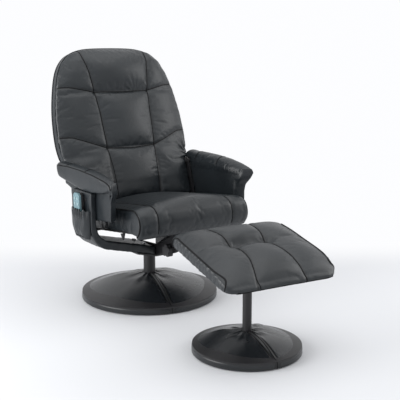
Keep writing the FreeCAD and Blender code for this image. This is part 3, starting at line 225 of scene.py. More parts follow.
DULL_SPECULAR = 0.12
upholstery = hide_finish("charcoal_hide", (0.004, 0.005, 0.006, 1), (0.0145, 0.0195, 0.0235, 1),
                         0.37, 0.0022)
cover_hide = hide_finish("cover_hide", (0.004, 0.0047, 0.0056, 1), (0.013, 0.0155, 0.0185, 1),
                         0.27, 0.0026)
black_coat = coat_finish("black_coat", (0.008, 0.008, 0.0092, 1), 0.42, 0.0012)
moulded_black = coat_finish("moulded_black", (0.010, 0.010, 0.011, 1), 0.5, 0.0008)
lining = coat_finish("black_lining", (0.010, 0.010, 0.011, 1), 0.75, 0.0006)
blue_case = coat_finish("blue_case", (0.13, 0.215, 0.24, 1), 0.36, 0.0006)
pale_keys = coat_finish("pale_keys", (0.22, 0.31, 0.33, 1), 0.4, 0.0006)
thread = coat_finish("seam_thread", (0.003, 0.0035, 0.004, 1), 0.6, 0.0008, DULL_SPECULAR)
# The piping's near-black, dull finish is darker than the hide. It is partly the cord's own dark tone and
# partly painted shade standing in for the shadowed side panel beside it.
piping_hide = coat_finish("piping_hide", (0.004, 0.0045, 0.005, 1), 0.5, 0.0012, DULL_SPECULAR)
zinc = plate_finish("zinc_plate", (0.62, 0.63, 0.65, 1), 0.32, (1, 8, 1))
cast_iron = plate_finish("cast_iron", (0.20, 0.20, 0.21, 1), 0.62, (1, 1, 1))


# Shared work on pieces: selecting, finishing, moving points, and laying threads on a skin.
def only(piece):
    """Select one object alone and make it active."""
    bpy.ops.object.select_all(action="DESELECT")
    piece.select_set(True)
    bpy.context.view_layer.objects.active = piece


def modified(piece, kind, **settings):
    """Apply one modifier to a piece."""
    only(piece)
    tool = piece.modifiers.new("tool", kind)
    for key, value in settings.items():
        setattr(tool, key, value)
    bpy.ops.object.modifier_apply(modifier="tool")


def dress(material, *nodes):
    """Give carried-over CAD nodes a finish."""
    for node in nodes:
        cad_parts[node].data.materials.clear()
        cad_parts[node].data.materials.append(material)


def finished(piece, material, body, slot, *nodes):
    """Give a new piece its finish, its body and the CAD nodes that it stands for."""
    piece.data.materials.clear()
    piece.data.materials.append(material)
    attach(piece, body)
    if nodes:
        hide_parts(*nodes)


def upholstered(piece, body, node):
    """Finish a padded piece in hide, in place of its CAD node."""
    finished(piece, upholstery, body, "hide", node)


def points_of(piece):
    flat = np.zeros(len(piece.data.vertices) * 3)
    piece.data.vertices.foreach_get("co", flat)
    return flat.reshape(-1, 3)


def normals_of(piece):
    flat = np.zeros(len(piece.data.vertices) * 3)
    piece.data.vertex_normals.foreach_get("vector", flat)
    return flat.reshape(-1, 3)


def put_points(piece, points):
    piece.data.vertices.foreach_set("co", points.ravel())
    piece.data.update()


def pushed(piece, amounts):
    """Move each point along its normal."""
    put_points(piece, points_of(piece) + normals_of(piece) * amounts[:, None])


def mark_sewn(piece, share):
    """Keep how near each point is to a seam or a shaded hollow, for the hide's darker seam line and painted
    shade.
    """
    layer = piece.data.attributes.get("sewn") or piece.data.attributes.new("sewn", "FLOAT", "POINT")
    layer.data.foreach_set("value", np.clip(share, 0, 1))


def ramp(values, start, run):
    """0 up to a start, rising to 1 over a run."""
    return np.clip((values - start) / run, 0, 1)


def bell(values, width):
    """1 where a value is 0, fading out over a width on both sides."""
    return np.exp(-(values / width) ** 2)


def eased(points, rounds):
    """Smooth a row of points, with its ends kept."""
    for turn in range(rounds):
        points[1:-1] = (points[:-2] + 2 * points[1:-1] + points[2:]) / 4
    return points


def stepped(line, step=0.006):
    """Points along a smooth curve through a line's corners."""
    corners = np.array(line, float)
    reach = np.r_[0, np.cumsum(np.linalg.norm(np.diff(corners, axis=0), axis=1))]
    places = np.linspace(0, reach[-1], max(3, int(reach[-1] / step)))
    even = np.stack([np.interp(places, reach, column) for column in corners.T], axis=1)
    return eased(even, 6)


def near_line(spots, line):
    """Each point's distance to a line of straight runs, and how far along the line it is."""
    best = np.full(len(spots), 1e9)
    along = np.zeros(len(spots))
    walked = 0.0
    for start, end in zip(np.array(line[:-1], float), np.array(line[1:], float)):
        run = end - start
        length = np.linalg.norm(run)
        share = np.clip((spots - start) @ run / length ** 2, 0, 1)
        gap = np.linalg.norm(spots - start - share[:, None] * run, axis=1)
        closer = gap < best
        best[closer] = gap[closer]
        along[closer] = walked + share[closer] * length
        walked += length
    return best, along


def held_at(spots, lines, width):
    """How firmly seams hold each point: 1 on a seam, fading out beside it."""
    hold = np.zeros(len(spots))
    for line in lines:
        gap, along = near_line(spots, line)
        hold = np.maximum(hold, bell(gap, width))
    return hold


def tipped(angle):
    """The matrix of a turn about the axis across the chair."""
    return np.array([[1, 0, 0],
                     [0, math.cos(angle), -math.sin(angle)],
                     [0, math.sin(angle), math.cos(angle)]])


def as_mesh(name, curve):
    """Turn a curve into a mesh object."""
    bent = bpy.data.objects.new(name, curve)
    bpy.context.scene.collection.objects.link(bent)
    only(bent)
    bpy.ops.object.convert(target="MESH")
    return bpy.context.object


THREAD_RADIUS = 0.0015
ARM_THREAD_RADIUS = 0.0021
FOOT_BEAD_RADIUS = 0.002
BEAD_RADIUS = 0.0032


def stitched(name, body, piece, routes, radius=THREAD_RADIUS, finish=thread, rounds=0):
    """A dark thread or bead laid on a finished skin where each route's rays meet it."""
    curve = bpy.data.curves.new(name, "CURVE")
    curve.dimensions = "3D"
    curve.bevel_depth = radius
    curve.bevel_resolution = 2
    curve.use_fill_caps = True
    for route in routes:
        met = [piece.ray_cast(Vector(origin), Vector(toward)) for origin, toward in route]
        marks = np.array([spot for hit, spot, facing, face in met if hit])
        if len(marks) < 2:
            continue
        line = curve.splines.new("POLY")
        line.points.add(len(marks) - 1)
        for point, spot in zip(line.points, eased(marks, rounds)):
            point.co = (*spot, 1)
    seam = as_mesh(name, curve)
    bpy.ops.object.shade_smooth()
    finished(seam, finish, body, "hide")


# Pedestals: a steel dish on a cast plate, under a hide cover sewn from one piece with one seam.
# The cover is drawn tight from the rim to the post, where it puckers.
COVER_WALL = 0.0014
COVER_SIDES = 360
RIM_HEIGHT = 0.026
RIM_ROUND = 0.009
RIM_TURN = math.radians(75)
RIM_STEPS = 4
CONE_STEPS = 24
CONE_BULGE = 0.003
RIDGE_HEIGHT = 0.0016
RIDGE_WIDTH = 0.0035
TROUGH_DEPTH = 0.0018
TROUGH_WIDTH = 0.003
TROUGH_OFFSET = 0.007
STEP_HEIGHT = 0.003
STEP_WIDTH = 0.006
STEP_TURN = 0.7
SLACK_HEIGHT = 0.0035
SLACK_PLACE = 0.2
SLACK_WIDTH = 0.09
TENT_HEIGHT = 0.011
TENT_TURN = 0.55


def cover_rings(rim, throat, shoulder, top):
    """Radius and height of each ring: up the rim's wall, over its edge and up the cone."""
    wall_top = shoulder - RIM_ROUND * 1.4
    rings = [(rim, wall_top)]
    for step in range(1, RIM_STEPS + 1):
        turn = step / RIM_STEPS * RIM_TURN
        rings.append((rim - RIM_ROUND * (1 - math.cos(turn)), wall_top + RIM_ROUND * math.sin(turn)))
    edge_radius, edge_height = rings[-1]
    for step in range(1, CONE_STEPS + 1):
        share = step / CONE_STEPS
        rings.append((edge_radius + share * (throat - edge_radius),
                      edge_height + share * (top - edge_height) + CONE_BULGE * math.sin(math.pi * share)))
    return rings


def turned_from(turn, heading):
    """Signed angle from a heading, the short way round."""
    return np.angle(np.exp(1j * (turn - heading)))


def cover_relief(cover, centre, rim, throat, shoulder, folds, pucker):
    """Pucker a cover at the post, raise its seam, and tent it along its folds."""
    spots = points_of(cover)
    across = spots[:, :2] - np.array(centre)
    radius = np.hypot(across[:, 0], across[:, 1])
    turn = np.arctan2(across[:, 1], across[:, 0])
    inward = np.exp(-(radius - throat) / (rim * 0.16))
    waves = np.cos(turn * 11 + 1.3 * np.sin(turn * 3)) * 0.6 + np.cos(turn * 17 + 2.0) * 0.4
    spots[:, 2] += pucker * inward * waves * (spots[:, 2] > shoulder)
    beside = turned_from(turn, math.radians(folds[0]))
    off = np.abs(beside) * radius
    ridge = bell(off, RIDGE_WIDTH)
    trough = bell(off - TROUGH_OFFSET, TROUGH_WIDTH)
    sideways = np.c_[across / np.maximum(radius, 1e-6)[:, None], np.zeros(len(radius))]
    on_top = spots[:, 2] > shoulder - RIM_ROUND
    outward = np.where(on_top[:, None], np.array([0, 0, 1.0]), sideways)
    spots += outward * (ridge * RIDGE_HEIGHT - trough * TROUGH_DEPTH)[:, None]
    cone = ramp(radius, throat, rim - throat) * (spots[:, 2] > shoulder - RIM_ROUND)
    step = np.tanh(beside * radius / STEP_WIDTH) * np.exp(-np.abs(beside) / STEP_TURN)
    slack = bell(cone - SLACK_PLACE, SLACK_WIDTH) * np.sin(turn * 2 + 0.7) * np.cos(turn * 5 + 1.0)
    tent = np.zeros(len(spots))
    for fold in folds:
        tent = np.maximum(tent, np.exp(-np.abs(turned_from(turn, math.radians(fold))) / TENT_TURN))
    spots[:, 2] += (STEP_HEIGHT * step * np.sin(math.pi * cone) + SLACK_HEIGHT * slack
                    + TENT_HEIGHT * tent * np.sin(math.pi * cone ** 0.8))
    put_points(cover, spots)
    # The seam's ridge is darkened as a seam line, and the trough beside it gets painted shade.
    mark_sewn(cover, ridge * 0.7 + trough)


def base_cover(name, node, body, centre, throat, folds, pucker):
    """A hide cover lofted ring by ring from the rim's foot to the post, with its seam at the first fold."""
    low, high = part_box(node)
    rim = (high.x - low.x) / 2
    foot = low.z
    top = high.z
    shoulder = foot + RIM_HEIGHT
    bpy.ops.object.select_all(action="DESELECT")
    bpy.ops.mesh.primitive_circle_add(vertices=COVER_SIDES, radius=rim, location=(*centre, foot))
    cover = bpy.context.object
    cover.name = name
    bpy.ops.object.transform_apply(location=True, rotation=True, scale=True)
    bpy.ops.object.mode_set(mode="EDIT")
    bpy.ops.mesh.select_all(action="SELECT")
    last_radius, last_height = rim, foot
    for radius, height in cover_rings(rim, throat, shoulder, top):
        bpy.ops.mesh.extrude_edges_move()
        bpy.ops.transform.resize(value=(radius / last_radius, radius / last_radius, 1),
                                 center_override=(*centre, height))
        bpy.ops.transform.translate(value=(0, 0, height - last_height))
        last_radius, last_height = radius, height
    bpy.ops.mesh.select_all(action="SELECT")
    bpy.ops.mesh.normals_make_consistent(inside=False)
    bpy.ops.object.mode_set(mode="OBJECT")
    cover_relief(cover, centre, rim, throat, shoulder, folds, pucker)
    modified(cover, "SOLIDIFY", thickness=COVER_WALL, offset=-1)
    bpy.ops.object.shade_smooth_by_angle(angle=math.radians(50))
    finished(cover, cover_hide, body, "hide", node)
    seam_turn = math.radians(folds[0])
    way = np.array([math.cos(seam_turn), math.sin(seam_turn), 0])
    middle = np.array([*centre, 0])
    route = [(middle + way * reach + (0, 0, top + 0.1), (0, 0, -1))
             for reach in np.linspace(throat + 0.004, rim - 0.004, 50)]
    route += [(middle + way * (rim + 0.1) + (0, 0, height), -way)
              for height in np.linspace(shoulder - 0.008, foot + 0.002, 8)]
    stitched(name + "_thread", body, cover, [route])


base_cover("chair_cover", "chair_base_cover", "chair_base", (0.0, 0.0), 0.0265, (-104, 137, 24), 0.0016)
base_cover("stool_cover", "stool_base_cover", "stool_base", (-0.067, -0.716), 0.0180, (-97.5, 128, 30),
           0.0018)
dress(black_coat, "chair_post", "stool_post", "chair_base_dish", "stool_base_dish")
dress(cast_iron, "chair_base_plate", "stool_base_plate")
dress(zinc, "chair_post_bolts", "stool_post_bolts")
dress(moulded_black, "chair_base_glides", "stool_base_glides", "chair_lower_bush", "chair_upper_bush",
      "chair_thrust_ring", "stool_bush")

# Carriage: a spindle and plate under two legs of board, each wrapped in hide that is stapled on top.
# The slotted brackets, hangers, rod and knob under the seat are plain hardware and show as they are.
dress(black_coat, "swivel_spindle", "carrier_plate", "slide_bracket_left", "slide_bracket_right",
      "clamp_hanger_left", "clamp_hanger_right", "seat_lug_left", "seat_lug_right", "back_hinge_left",
      "back_hinge_right", "stool_bracket")
dress(zinc, "cradle_bolts", "clamp_rod", "stool_screws")
dress(moulded_black, "arm_bolts", "back_pivot_bolts", "lock_knob", "seat_stop_pegs", "control_box",
      "control_sockets", "seat_motors", "back_motors")
STRIP_MIDDLE = (0.054, -0.199, 0.2828)
STRIP_SIZE = (0.0135, 0.146, 0.0014)
STRIP_SLOPE = math.radians(-30.7)
STRIP_EDGE = 0.0004
for side, name in ((-1, "wear_strip_left"), (1, "wear_strip_right")):
    bpy.ops.mesh.primitive_cube_add(size=1, location=(side * STRIP_MIDDLE[0], *STRIP_MIDDLE[1:]),
                                    rotation=(STRIP_SLOPE, 0, 0), scale=STRIP_SIZE)
    strip = bpy.context.object
    strip.name = name
    bpy.ops.object.transform_apply(location=True, rotation=True, scale=True)
    modified(strip, "BEVEL", width=STRIP_EDGE, segments=2)
    finished(strip, zinc, "carriage", "zinc")


def skin_of(node, name, voxel):
    """A merged copy of a soft CAD solid in even squares, ready to be filled and sewn."""
    piece = bpy.data.objects.new(name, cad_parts[node].data.copy())
    bpy.context.scene.collection.objects.link(piece)
    only(piece)
    bpy.ops.object.mode_set(mode="EDIT")
    bpy.ops.mesh.select_all(action="SELECT")
    bpy.ops.mesh.remove_doubles(threshold=0.00005)
    bpy.ops.object.mode_set(mode="OBJECT")
    modified(piece, "REMESH", mode="VOXEL", voxel_size=voxel)
    return piece


def soften(piece, rounds):
    """Round a remeshed form's corners."""
    modified(piece, "SMOOTH", factor=0.5, iterations=rounds)


def smooth_shaded(piece):
    only(piece)
    bpy.ops.object.shade_smooth()


def finer(piece):
    """One round of subdivision, and smooth shading."""
    modified(piece, "SUBSURF", levels=1, render_levels=1)
    bpy.ops.object.shade_smooth()


def creased(piece, amount, size, seed):
    """Push a wrapped surface in and out a little, in long irregular folds."""
    a, b, c = (points_of(piece) * (2 * math.pi / size)).T
    long_folds = np.sin(a * 1.0 + 1.7 * np.sin(b * 0.43 + seed) + seed)
    cross_folds = np.sin(c * 0.9 + 1.3 * np.sin(a * 0.37) + seed * 2)
    small_folds = 0.6 * np.sin(b * 1.6 + 1.1 * np.sin(c * 0.71 + seed * 3))
    pushed(piece, amount * (long_folds * cross_folds + small_folds))


def mirrored_piece(piece, name):
    """The right-hand twin of a left-hand piece, with its own mesh."""
    twin = piece.copy()
    twin.data = piece.data.copy()
    twin.name = name
    bpy.context.scene.collection.objects.link(twin)
    twin.data.transform(Matrix.Scale(-1, 4, (1, 0, 0)))
    only(twin)
    bpy.ops.object.mode_set(mode="EDIT")
    bpy.ops.mesh.select_all(action="SELECT")
    bpy.ops.mesh.flip_normals()
    bpy.ops.object.mode_set(mode="OBJECT")
    return twin


left_wrap = skin_of("cradle_left", "cradle_wrap_left", 0.005)
soften(left_wrap, 4)
creased(left_wrap, amount=0.0008, size=0.06, seed=0.4)
smooth_shaded(left_wrap)
right_wrap = mirrored_piece(left_wrap, "cradle_wrap_right")
upholstered(left_wrap, "carriage", "cradle_left")
upholstered(right_wrap, "carriage", "cradle_right")

# Boards: each is drawn in a little under a black cloth lining.
LINING_SHARE = 0.965


def lined(node, body):
    """A black cloth stapled round a board's edges and over its back."""
    cloth = skin_of(node, node + "_lining", 0.004)
    middle = (points_of(cloth).max(axis=0) + points_of(cloth).min(axis=0)) / 2
    put_points(cloth, middle + (points_of(cloth) - middle) * LINING_SHARE)
    only(cloth)
    bpy.ops.object.shade_smooth_by_angle(angle=math.radians(40))
    finished(cloth, lining, body, "hide", node)


lined("seat_board", "seat")
lined("back_board", "back")
lined("stool_board", "stool_top")

# Cushions: cloth filled by air pressure, held at the seams, and then drawn in along them.
CLOTH = {"quality": 4, "mass": 0.3, "tension_stiffness": 12, "compression_stiffness": 12,
         "bending_stiffness": 0.8, "use_pressure": True, "vertex_group_mass": "held"}
CLOTH_FRAMES = 20


def swell(piece, held, pressure, slack, cap):
    """Fill a cushion: cloth blown out from its skin, held at the seams, and no further than the cap."""
    start = points_of(piece)
    group = piece.vertex_groups.new(name="held")
    for weight in np.unique(np.round(held, 1)):
        if weight > 0:
            group.add(np.flatnonzero(np.round(held, 1) == weight).tolist(), float(weight), "REPLACE")
    only(piece)
    settings = piece.modifiers.new("fill", "CLOTH").settings
    for key, value in CLOTH.items():
        setattr(settings, key, value)
    settings.uniform_pressure_force = pressure
    settings.shrink_min = -slack
    settings.effector_weights.gravity = 0
    for step in range(1, CLOTH_FRAMES + 1):
        bpy.context.scene.frame_set(step)
    bpy.ops.object.modifier_apply(modifier="fill")
    moved = points_of(piece) - start
    reach = np.linalg.norm(moved, axis=1)
    put_points(piece, start + moved * np.minimum(1, cap / np.maximum(reach, 1e-9))[:, None])
    bpy.context.scene.frame_set(1)


def sewn(piece, flat, lines, mask, depth, width, pucker, pitch):
    """Draw a piece in along its seams, with the small gathers that a lockstitch leaves beside them, and
    return how near each point is to a seam groove, for the hide's darker seam line and painted shade there.
    """
    push = np.zeros(len(flat))
    near = np.zeros(len(flat))
    for order, line in enumerate(lines):
        gap, along = near_line(flat, line)
        beside = bell(gap - 2.4 * width, 1.8 * width)
        wave = np.cos(2 * math.pi * along / pitch + 1.9 * np.sin(along / pitch * 2.3 + order))
        push -= mask * (depth * bell(gap, width) - pucker * beside * wave)
        # How near each point is to a seam groove: the share that the hide darkens as a seam line and painted
        # shade.
        near = np.maximum(near, mask * bell(gap, 0.55 * width))
    pushed(piece, push)
    return near


def gathered(piece, flat, mask, centre, reach, folds, turn, amount):
    """Folds that fan out from one point of a panel."""
    out = flat - np.array(centre)
    radius = np.hypot(out[:, 0], out[:, 1])
    angle = np.arctan2(out[:, 1], out[:, 0]) + turn
    fade = bell(radius - 0.35 * reach, 0.5 * reach)
    pushed(piece, amount * mask * fade * np.cos(folds * angle))


# Arms: a plywood side, foam down the inner face and over the top, and a hide band that hangs outside.
# The top panel is sewn to the band along its outer edge, and a strip rolls down at the front.
FRONT_START = -0.14
FRONT_DRAW = 0.15
FRONT_SKEW = 0.024
SKEW_START = -0.306
SKEW_RUN = 0.036
SKEW_BEHIND = 0.1
TIP_FLARE = 0.013
FLARE_RUN = 0.15
FLARE_HEIGHT = 0.44
FLARE_RISE = 0.07
REAR_START = 0.095
REAR_RUN = 0.03
REAR_HEIGHT = 0.5
REAR_RISE = 0.04
REAR_REACH = 0.010
REAR_LIFT = 0.005


def drawn_back(piece):
    """Pull an arm's front back to the panel's edge, turn its tip outward, and reach to the back."""
    spots = points_of(piece)
    ahead = np.clip(FRONT_START - spots[:, 1], 0, None)
    spots[:, 1] += ahead * FRONT_DRAW
    spots[:, 1] += FRONT_SKEW * ramp(spots[:, 0], SKEW_START, SKEW_RUN) * ramp(ahead, 0, SKEW_BEHIND)
    spots[:, 0] -= TIP_FLARE * (ramp(ahead, 0, FLARE_RUN) ** 2 * ramp(spots[:, 2], FLARE_HEIGHT, FLARE_RISE))
    behind = ramp(spots[:, 1], REAR_START, REAR_RUN) * ramp(spots[:, 2], REAR_HEIGHT, REAR_RISE)
    spots[:, 1] += REAR_REACH * behind
    spots[:, 2] += REAR_LIFT * behind
    put_points(piece, spots)


ARM_VOXEL = 0.004
left_side = skin_of("arm_board_left", "arm_side_left", ARM_VOXEL)
soften(left_side, 3)
drawn_back(left_side)
creased(left_side, amount=0.0006, size=0.11, seed=2.2)
smooth_shaded(left_side)
right_side = mirrored_piece(left_side, "arm_side_right")
upholstered(left_side, "carriage", "arm_board_left")
upholstered(right_side, "carriage", "arm_board_right")
ARM_SEAM = [(-0.331, 0.13, 0.546), (-0.3335, 0.116, 0.55), (-0.3315, 0.046, 0.5535),
            (-0.332, -0.046, 0.552), (-0.3305, -0.13, 0.546), (-0.324, -0.206, 0.536),
            (-0.317, -0.248, 0.529), (-0.3125, -0.273, 0.522), (-0.311, -0.288, 0.51),
            (-0.311, -0.2895, 0.495)]
ARM_CROSS = [[(-0.326, 0.062), (-0.262, 0.058)], [(-0.326, -0.086), (-0.262, -0.09)]]
FRONT_PATH = [(-0.281, 0.524), (-0.287, 0.514), (-0.288, 0.50), (-0.282, 0.487), (-0.27, 0.477),
              (-0.258, 0.467), (-0.2515, 0.453), (-0.249, 0.43), (-0.2475, 0.405), (-0.2455, 0.379)]
FRONT_EDGES = (-0.306, -0.2695)
FRONT_WALL = 0.013
front_line = stepped(FRONT_PATH, 0.004)
bpy.ops.mesh.primitive_grid_add(x_subdivisions=8, y_subdivisions=len(front_line) - 1, size=1)
left_front = bpy.context.object
spots = points_of(left_front)
across = FRONT_EDGES[0] + (spots[:, 0] + 0.5) * (FRONT_EDGES[1] - FRONT_EDGES[0])
rows = np.rint((spots[:, 1] + 0.5) * (len(front_line) - 1)).astype(int)
put_points(left_front, np.c_[across, front_line[rows]])
modified(left_front, "SOLIDIFY", thickness=FRONT_WALL, offset=0)
left_pad = skin_of("arm_pad_left", "arm_left", ARM_VOXEL)
left_front.select_set(True)
bpy.ops.object.join()
modified(left_pad, "REMESH", mode="VOXEL", voxel_size=ARM_VOXEL)
soften(left_pad, 8)
spots = points_of(left_pad)
inner_face = ramp(spots[:, 0], -0.30, 0.006) * (spots[:, 2] < 0.5)
band = ramp(-spots[:, 0], 0.318, 0.004)
hold = np.clip(held_at(spots, [ARM_SEAM], 0.007) + inner_face + band, 0, 1)
swell(left_pad, hold, pressure=3.0, slack=0.004, cap=0.004)
spots = points_of(left_pad)
edge_share = sewn(left_pad, spots, [ARM_SEAM], np.ones(len(spots)),
                  depth=0.0024, width=0.0036, pucker=0.0001, pitch=0.022)
upward = np.clip(normals_of(left_pad)[:, 2] * 2, 0, 1)
cross_share = sewn(left_pad, spots[:, :2], ARM_CROSS, upward,
                   depth=0.0016, width=0.0036, pucker=0.0002, pitch=0.02)
# The hide darkens along these seams: a dark seam line with painted shade in the grooves.
mark_sewn(left_pad, np.maximum(edge_share, cross_share))
drawn_back(left_pad)
finer(left_pad)
right_pad = mirrored_piece(left_pad, "arm_right")
SEAM_AIM = np.array([0.7, 0.0, -0.7])
ARM_RAY_TOP = 0.62
seam_spots = stepped(ARM_SEAM)
ahead = np.clip(FRONT_START - seam_spots[:, 1], 0, None)
seam_spots[:, 1] += ahead * FRONT_DRAW
seam_spots[:, 0] -= TIP_FLARE * ramp(ahead, 0, FLARE_RUN) ** 2
left_routes = [[(spot - SEAM_AIM * 0.04, SEAM_AIM) for spot in seam_spots]]
left_routes += [[((x, y, ARM_RAY_TOP), (0, 0, -1)) for x, y in stepped(line)] for line in ARM_CROSS]
stitched("arm_thread_left", "carriage", left_pad, left_routes, ARM_THREAD_RADIUS)
FLIP = np.array([-1, 1, 1])
right_routes = [[(FLIP * np.array(origin), FLIP * np.array(toward)) for origin, toward in route]
                for route in left_routes]
stitched("arm_thread_right", "carriage", right_pad, right_routes, ARM_THREAD_RADIUS)
upholstered(left_pad, "carriage", "arm_pad_left")
upholstered(right_pad, "carriage", "arm_pad_right")

# Handset and its pocket: a moulded case with four keys, kept in a hide pocket gathered by elastic.
POCKET_FACE = 0.334
POCKET_ROUND = 0.012
MOUTH_DROP = 0.008
MOUTH_BAND = 0.02
GATHER_PITCH = 0.017
GATHER_DEPTH = 0.0034
LIP_WAVE = 0.003
FOLD_PITCH = 0.046
FOLD_DEPTH = 0.002
FOOT_SHARE = 0.74
FOOT_RISE = 0.05
pocket = skin_of("remote_pocket", "handset_pocket", 0.0014)
soften(pocket, 3)
spots = points_of(pocket)
low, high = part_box("remote_pocket")
outside = ramp(-spots[:, 0], POCKET_FACE, POCKET_ROUND)
mouth = bell(spots[:, 2] - high.z + MOUTH_DROP, MOUTH_BAND)
gathers = np.cos(spots[:, 1] * 2 * math.pi / GATHER_PITCH + 1.2 * np.sin(spots[:, 1] * 95))
sag = np.sin(ramp(spots[:, 2], low.z, high.z - low.z) * math.pi)
fold = np.cos(spots[:, 1] * 2 * math.pi / FOLD_PITCH + spots[:, 2] * 40)
spots += normals_of(pocket) * (outside * (GATHER_DEPTH * mouth * gathers + FOLD_DEPTH * sag * fold))[:, None]
rise = ramp(spots[:, 2], low.z, FOOT_RISE)
taper = FOOT_SHARE + (1 - FOOT_SHARE) * np.sin(rise * math.pi / 2)
spots[:, 1] = low.y + (spots[:, 1] - low.y) * taper
spots[:, 2] += LIP_WAVE * outside * gathers * ramp(spots[:, 2], high.z - 0.012, 0.012)
put_points(pocket, spots)
# Painted shade in the valleys between the elastic's gathers near the pocket's mouth.
mark_sewn(pocket, 0.85 * outside * mouth * np.clip(-gathers, 0, 1))
smooth_shaded(pocket)
finished(pocket, upholstery, "carriage", "hide", "remote_pocket")
dress(blue_case, "handset_front")
dress(moulded_black, "handset_rear")
dress(pale_keys, "key_power", "key_mode", "key_strength", "key_heat")

# Threads and beads of a pad follow rays: down on its top, in on its rolled end, or in on its side edge.
DOWN = np.array([0, 0, -1])
RAY_TOP = 0.3
ROLL_REACH = 0.2
EDGE_REACH = 0.15
SLANT = 0.7


def down_rays(marks, place):
    """Rays down on a pad's flat top."""
    return [place(np.array([x, y, RAY_TOP]), DOWN) for x, y in marks]


def rolled_rays(x, flat_ends, axis, sweep, place):
    """Rays down on a pad's flat top, then in on its roll towards the roll's own axis."""
    rays = down_rays([(x, y) for y in np.linspace(*flat_ends, 40)], place)
    for turn in np.radians(np.linspace(90, sweep, 24)):
        inward = np.array([0, math.cos(turn), -math.sin(turn)])
        rays.append(place(np.array([x, *axis]) - ROLL_REACH * inward, inward))
    return rays


def edge_run(side, x, ys, z, place):
    """Slanting rays in on a straight side edge."""
    toward = np.array([-side * SLANT, 0, -SLANT])
    return [place(np.array([side * x, y, z]) - EDGE_REACH * toward, toward) for y in ys]


def edge_arc(side, spot, turns, ahead, place):
    """Slanting rays in on a side edge where it goes round a rolled end."""
    rays = []
    for turn in np.radians(turns):
        toward = np.array([-side * SLANT, ahead * SLANT * math.cos(turn), -SLANT * math.sin(turn)])
        rays.append(place(np.array([side * spot[0], *spot[1:]]) - ROLL_REACH * toward, toward))
    return rays


# Seat: a foam block on a plywood board, with a hide cover sewn in three panels over a round nose.
# Flat side panels are piped to it along the profile.
SEAT_AT = np.array([0.0, 0.060, 0.292])
FROM_SEAT = tipped(-math.radians(6.6))
SEAT_SEAMS = [[(-0.165, 0.10), (-0.168, -0.36)], [(0.165, 0.10), (0.168, -0.36)]]
SEAT_PROFILE = [(-0.012, 0.076), (-0.03, 0.089), (-0.12, 0.0935), (-0.22, 0.0945), (-0.31, 0.0935),
                (-0.345, 0.089), (-0.376, 0.075), (-0.396, 0.055), (-0.403, 0.034), (-0.396, 0.014),
                (-0.381, 0.001)]
SEAT_SIDE = 0.2375
SEAT_HOLD = 0.008
NOSE_SAG = 0.014
NOSE_START = 0.29
seat_pipe = np.array([(-SEAT_SIDE, y, z) for y, z in SEAT_PROFILE]) @ FROM_SEAT.T + SEAT_AT
seat = skin_of("seat_cushion", "seat_pad", 0.006)
soften(seat, 4)
spots = points_of(seat)
facing = normals_of(seat)
top_side = np.clip((facing[:, 2] + 0.4) * 3, 0, 1) * (1 - ramp(spots[:, 1], 0.06, 0.02))
hold = held_at(spots[:, :2], SEAT_SEAMS, SEAT_HOLD) * top_side
hold = np.maximum(hold, held_at(np.c_[-np.abs(spots[:, 0]), spots[:, 1:]], [seat_pipe], SEAT_HOLD))
hold = np.maximum(hold, (facing[:, 2] < -0.6) * 1.0)
swell(seat, hold, pressure=4.0, slack=0.006, cap=0.012)
share = sewn(seat, points_of(seat)[:, :2], SEAT_SEAMS, top_side,
             depth=0.0032, width=0.0045, pucker=0.0003, pitch=0.028)
spots = points_of(seat)
own = (spots - SEAT_AT) @ FROM_SEAT
spots[:, 2] -= NOSE_SAG * ramp(-own[:, 1], NOSE_START, 0.06) * (1 - ramp(own[:, 2], 0, 0.07))
put_points(seat, spots)
# The hide darkens along these seams: a dark seam line with painted shade in the grooves.
mark_sewn(seat, share)
finer(seat)
upholstered(seat, "seat", "seat_cushion")


def in_seat_place(origin, toward):
    return FROM_SEAT @ origin + SEAT_AT, FROM_SEAT @ toward


seat_routes = [rolled_rays(x, (-0.03, -0.34), (-0.34, 0.045), -40, in_seat_place) for x in (-0.166, 0.166)]
stitched("seat_thread", "seat", seat, seat_routes)
edge_routes = [edge_run(side, 0.225, np.linspace(-0.02, -0.33, 40), 0.08, in_seat_place)
               + edge_arc(side, (0.19, -0.345, 0.042), np.linspace(85, -60, 30), 1, in_seat_place)
               for side in (-1, 1)]
stitched("seat_piping", "seat", seat, edge_routes, BEAD_RADIUS, piping_hide, 4)

# Back: foam on a board, its cover sewn in two rows and three columns under a head pillow.
# The rear is one crowned panel, joined to the front by a boxing strip with piping at its rear edge.
PIVOT = np.array([0.0, 0.105, 0.520])
TO_BACK = tipped(math.radians(18))


def in_back(spots):
    """Points in the back's own frame: across, depth and height from the pivot."""
    return (spots - PIVOT) @ TO_BACK.T


def both(line):
    """A seam on the left and its twin on the right."""
    return [line, [(-x, z) for x, z in line]]


BACK_SEAMS = [[(-0.285, 0.345), (-0.23, 0.34), (-0.18, 0.327), (-0.125, 0.314), (0, 0.31),
               (0.125, 0.314), (0.18, 0.327), (0.23, 0.34), (0.285, 0.345)],
              [(-0.305, 0.142), (-0.25, 0.138), (-0.18, 0.108), (-0.111, 0.081), (0, 0.075),
               (0.111, 0.081), (0.18, 0.108), (0.25, 0.138), (0.305, 0.142)]]
BACK_SEAMS += both([(-0.111, 0.081), (-0.114, 0.14), (-0.118, 0.23), (-0.125, 0.314)])
BACK_SEAMS += both([(-0.125, 0.314), (-0.137, 0.4), (-0.148, 0.45), (-0.152, 0.51)])
BACK_SEAMS += both([(-0.111, 0.081), (-0.103, 0.0), (-0.097, -0.12)])
BACK_HOLD = 0.008
BOARD_FACE = 0.036
PILLOW_FOOT = 0.318
back = skin_of("back_cushion", "back_pad", 0.006)
soften(back, 7)
spots = in_back(points_of(back))
front = np.clip((0.3 - normals_of(back) @ TO_BACK[1]) * 3 - 0.6, 0, 1)
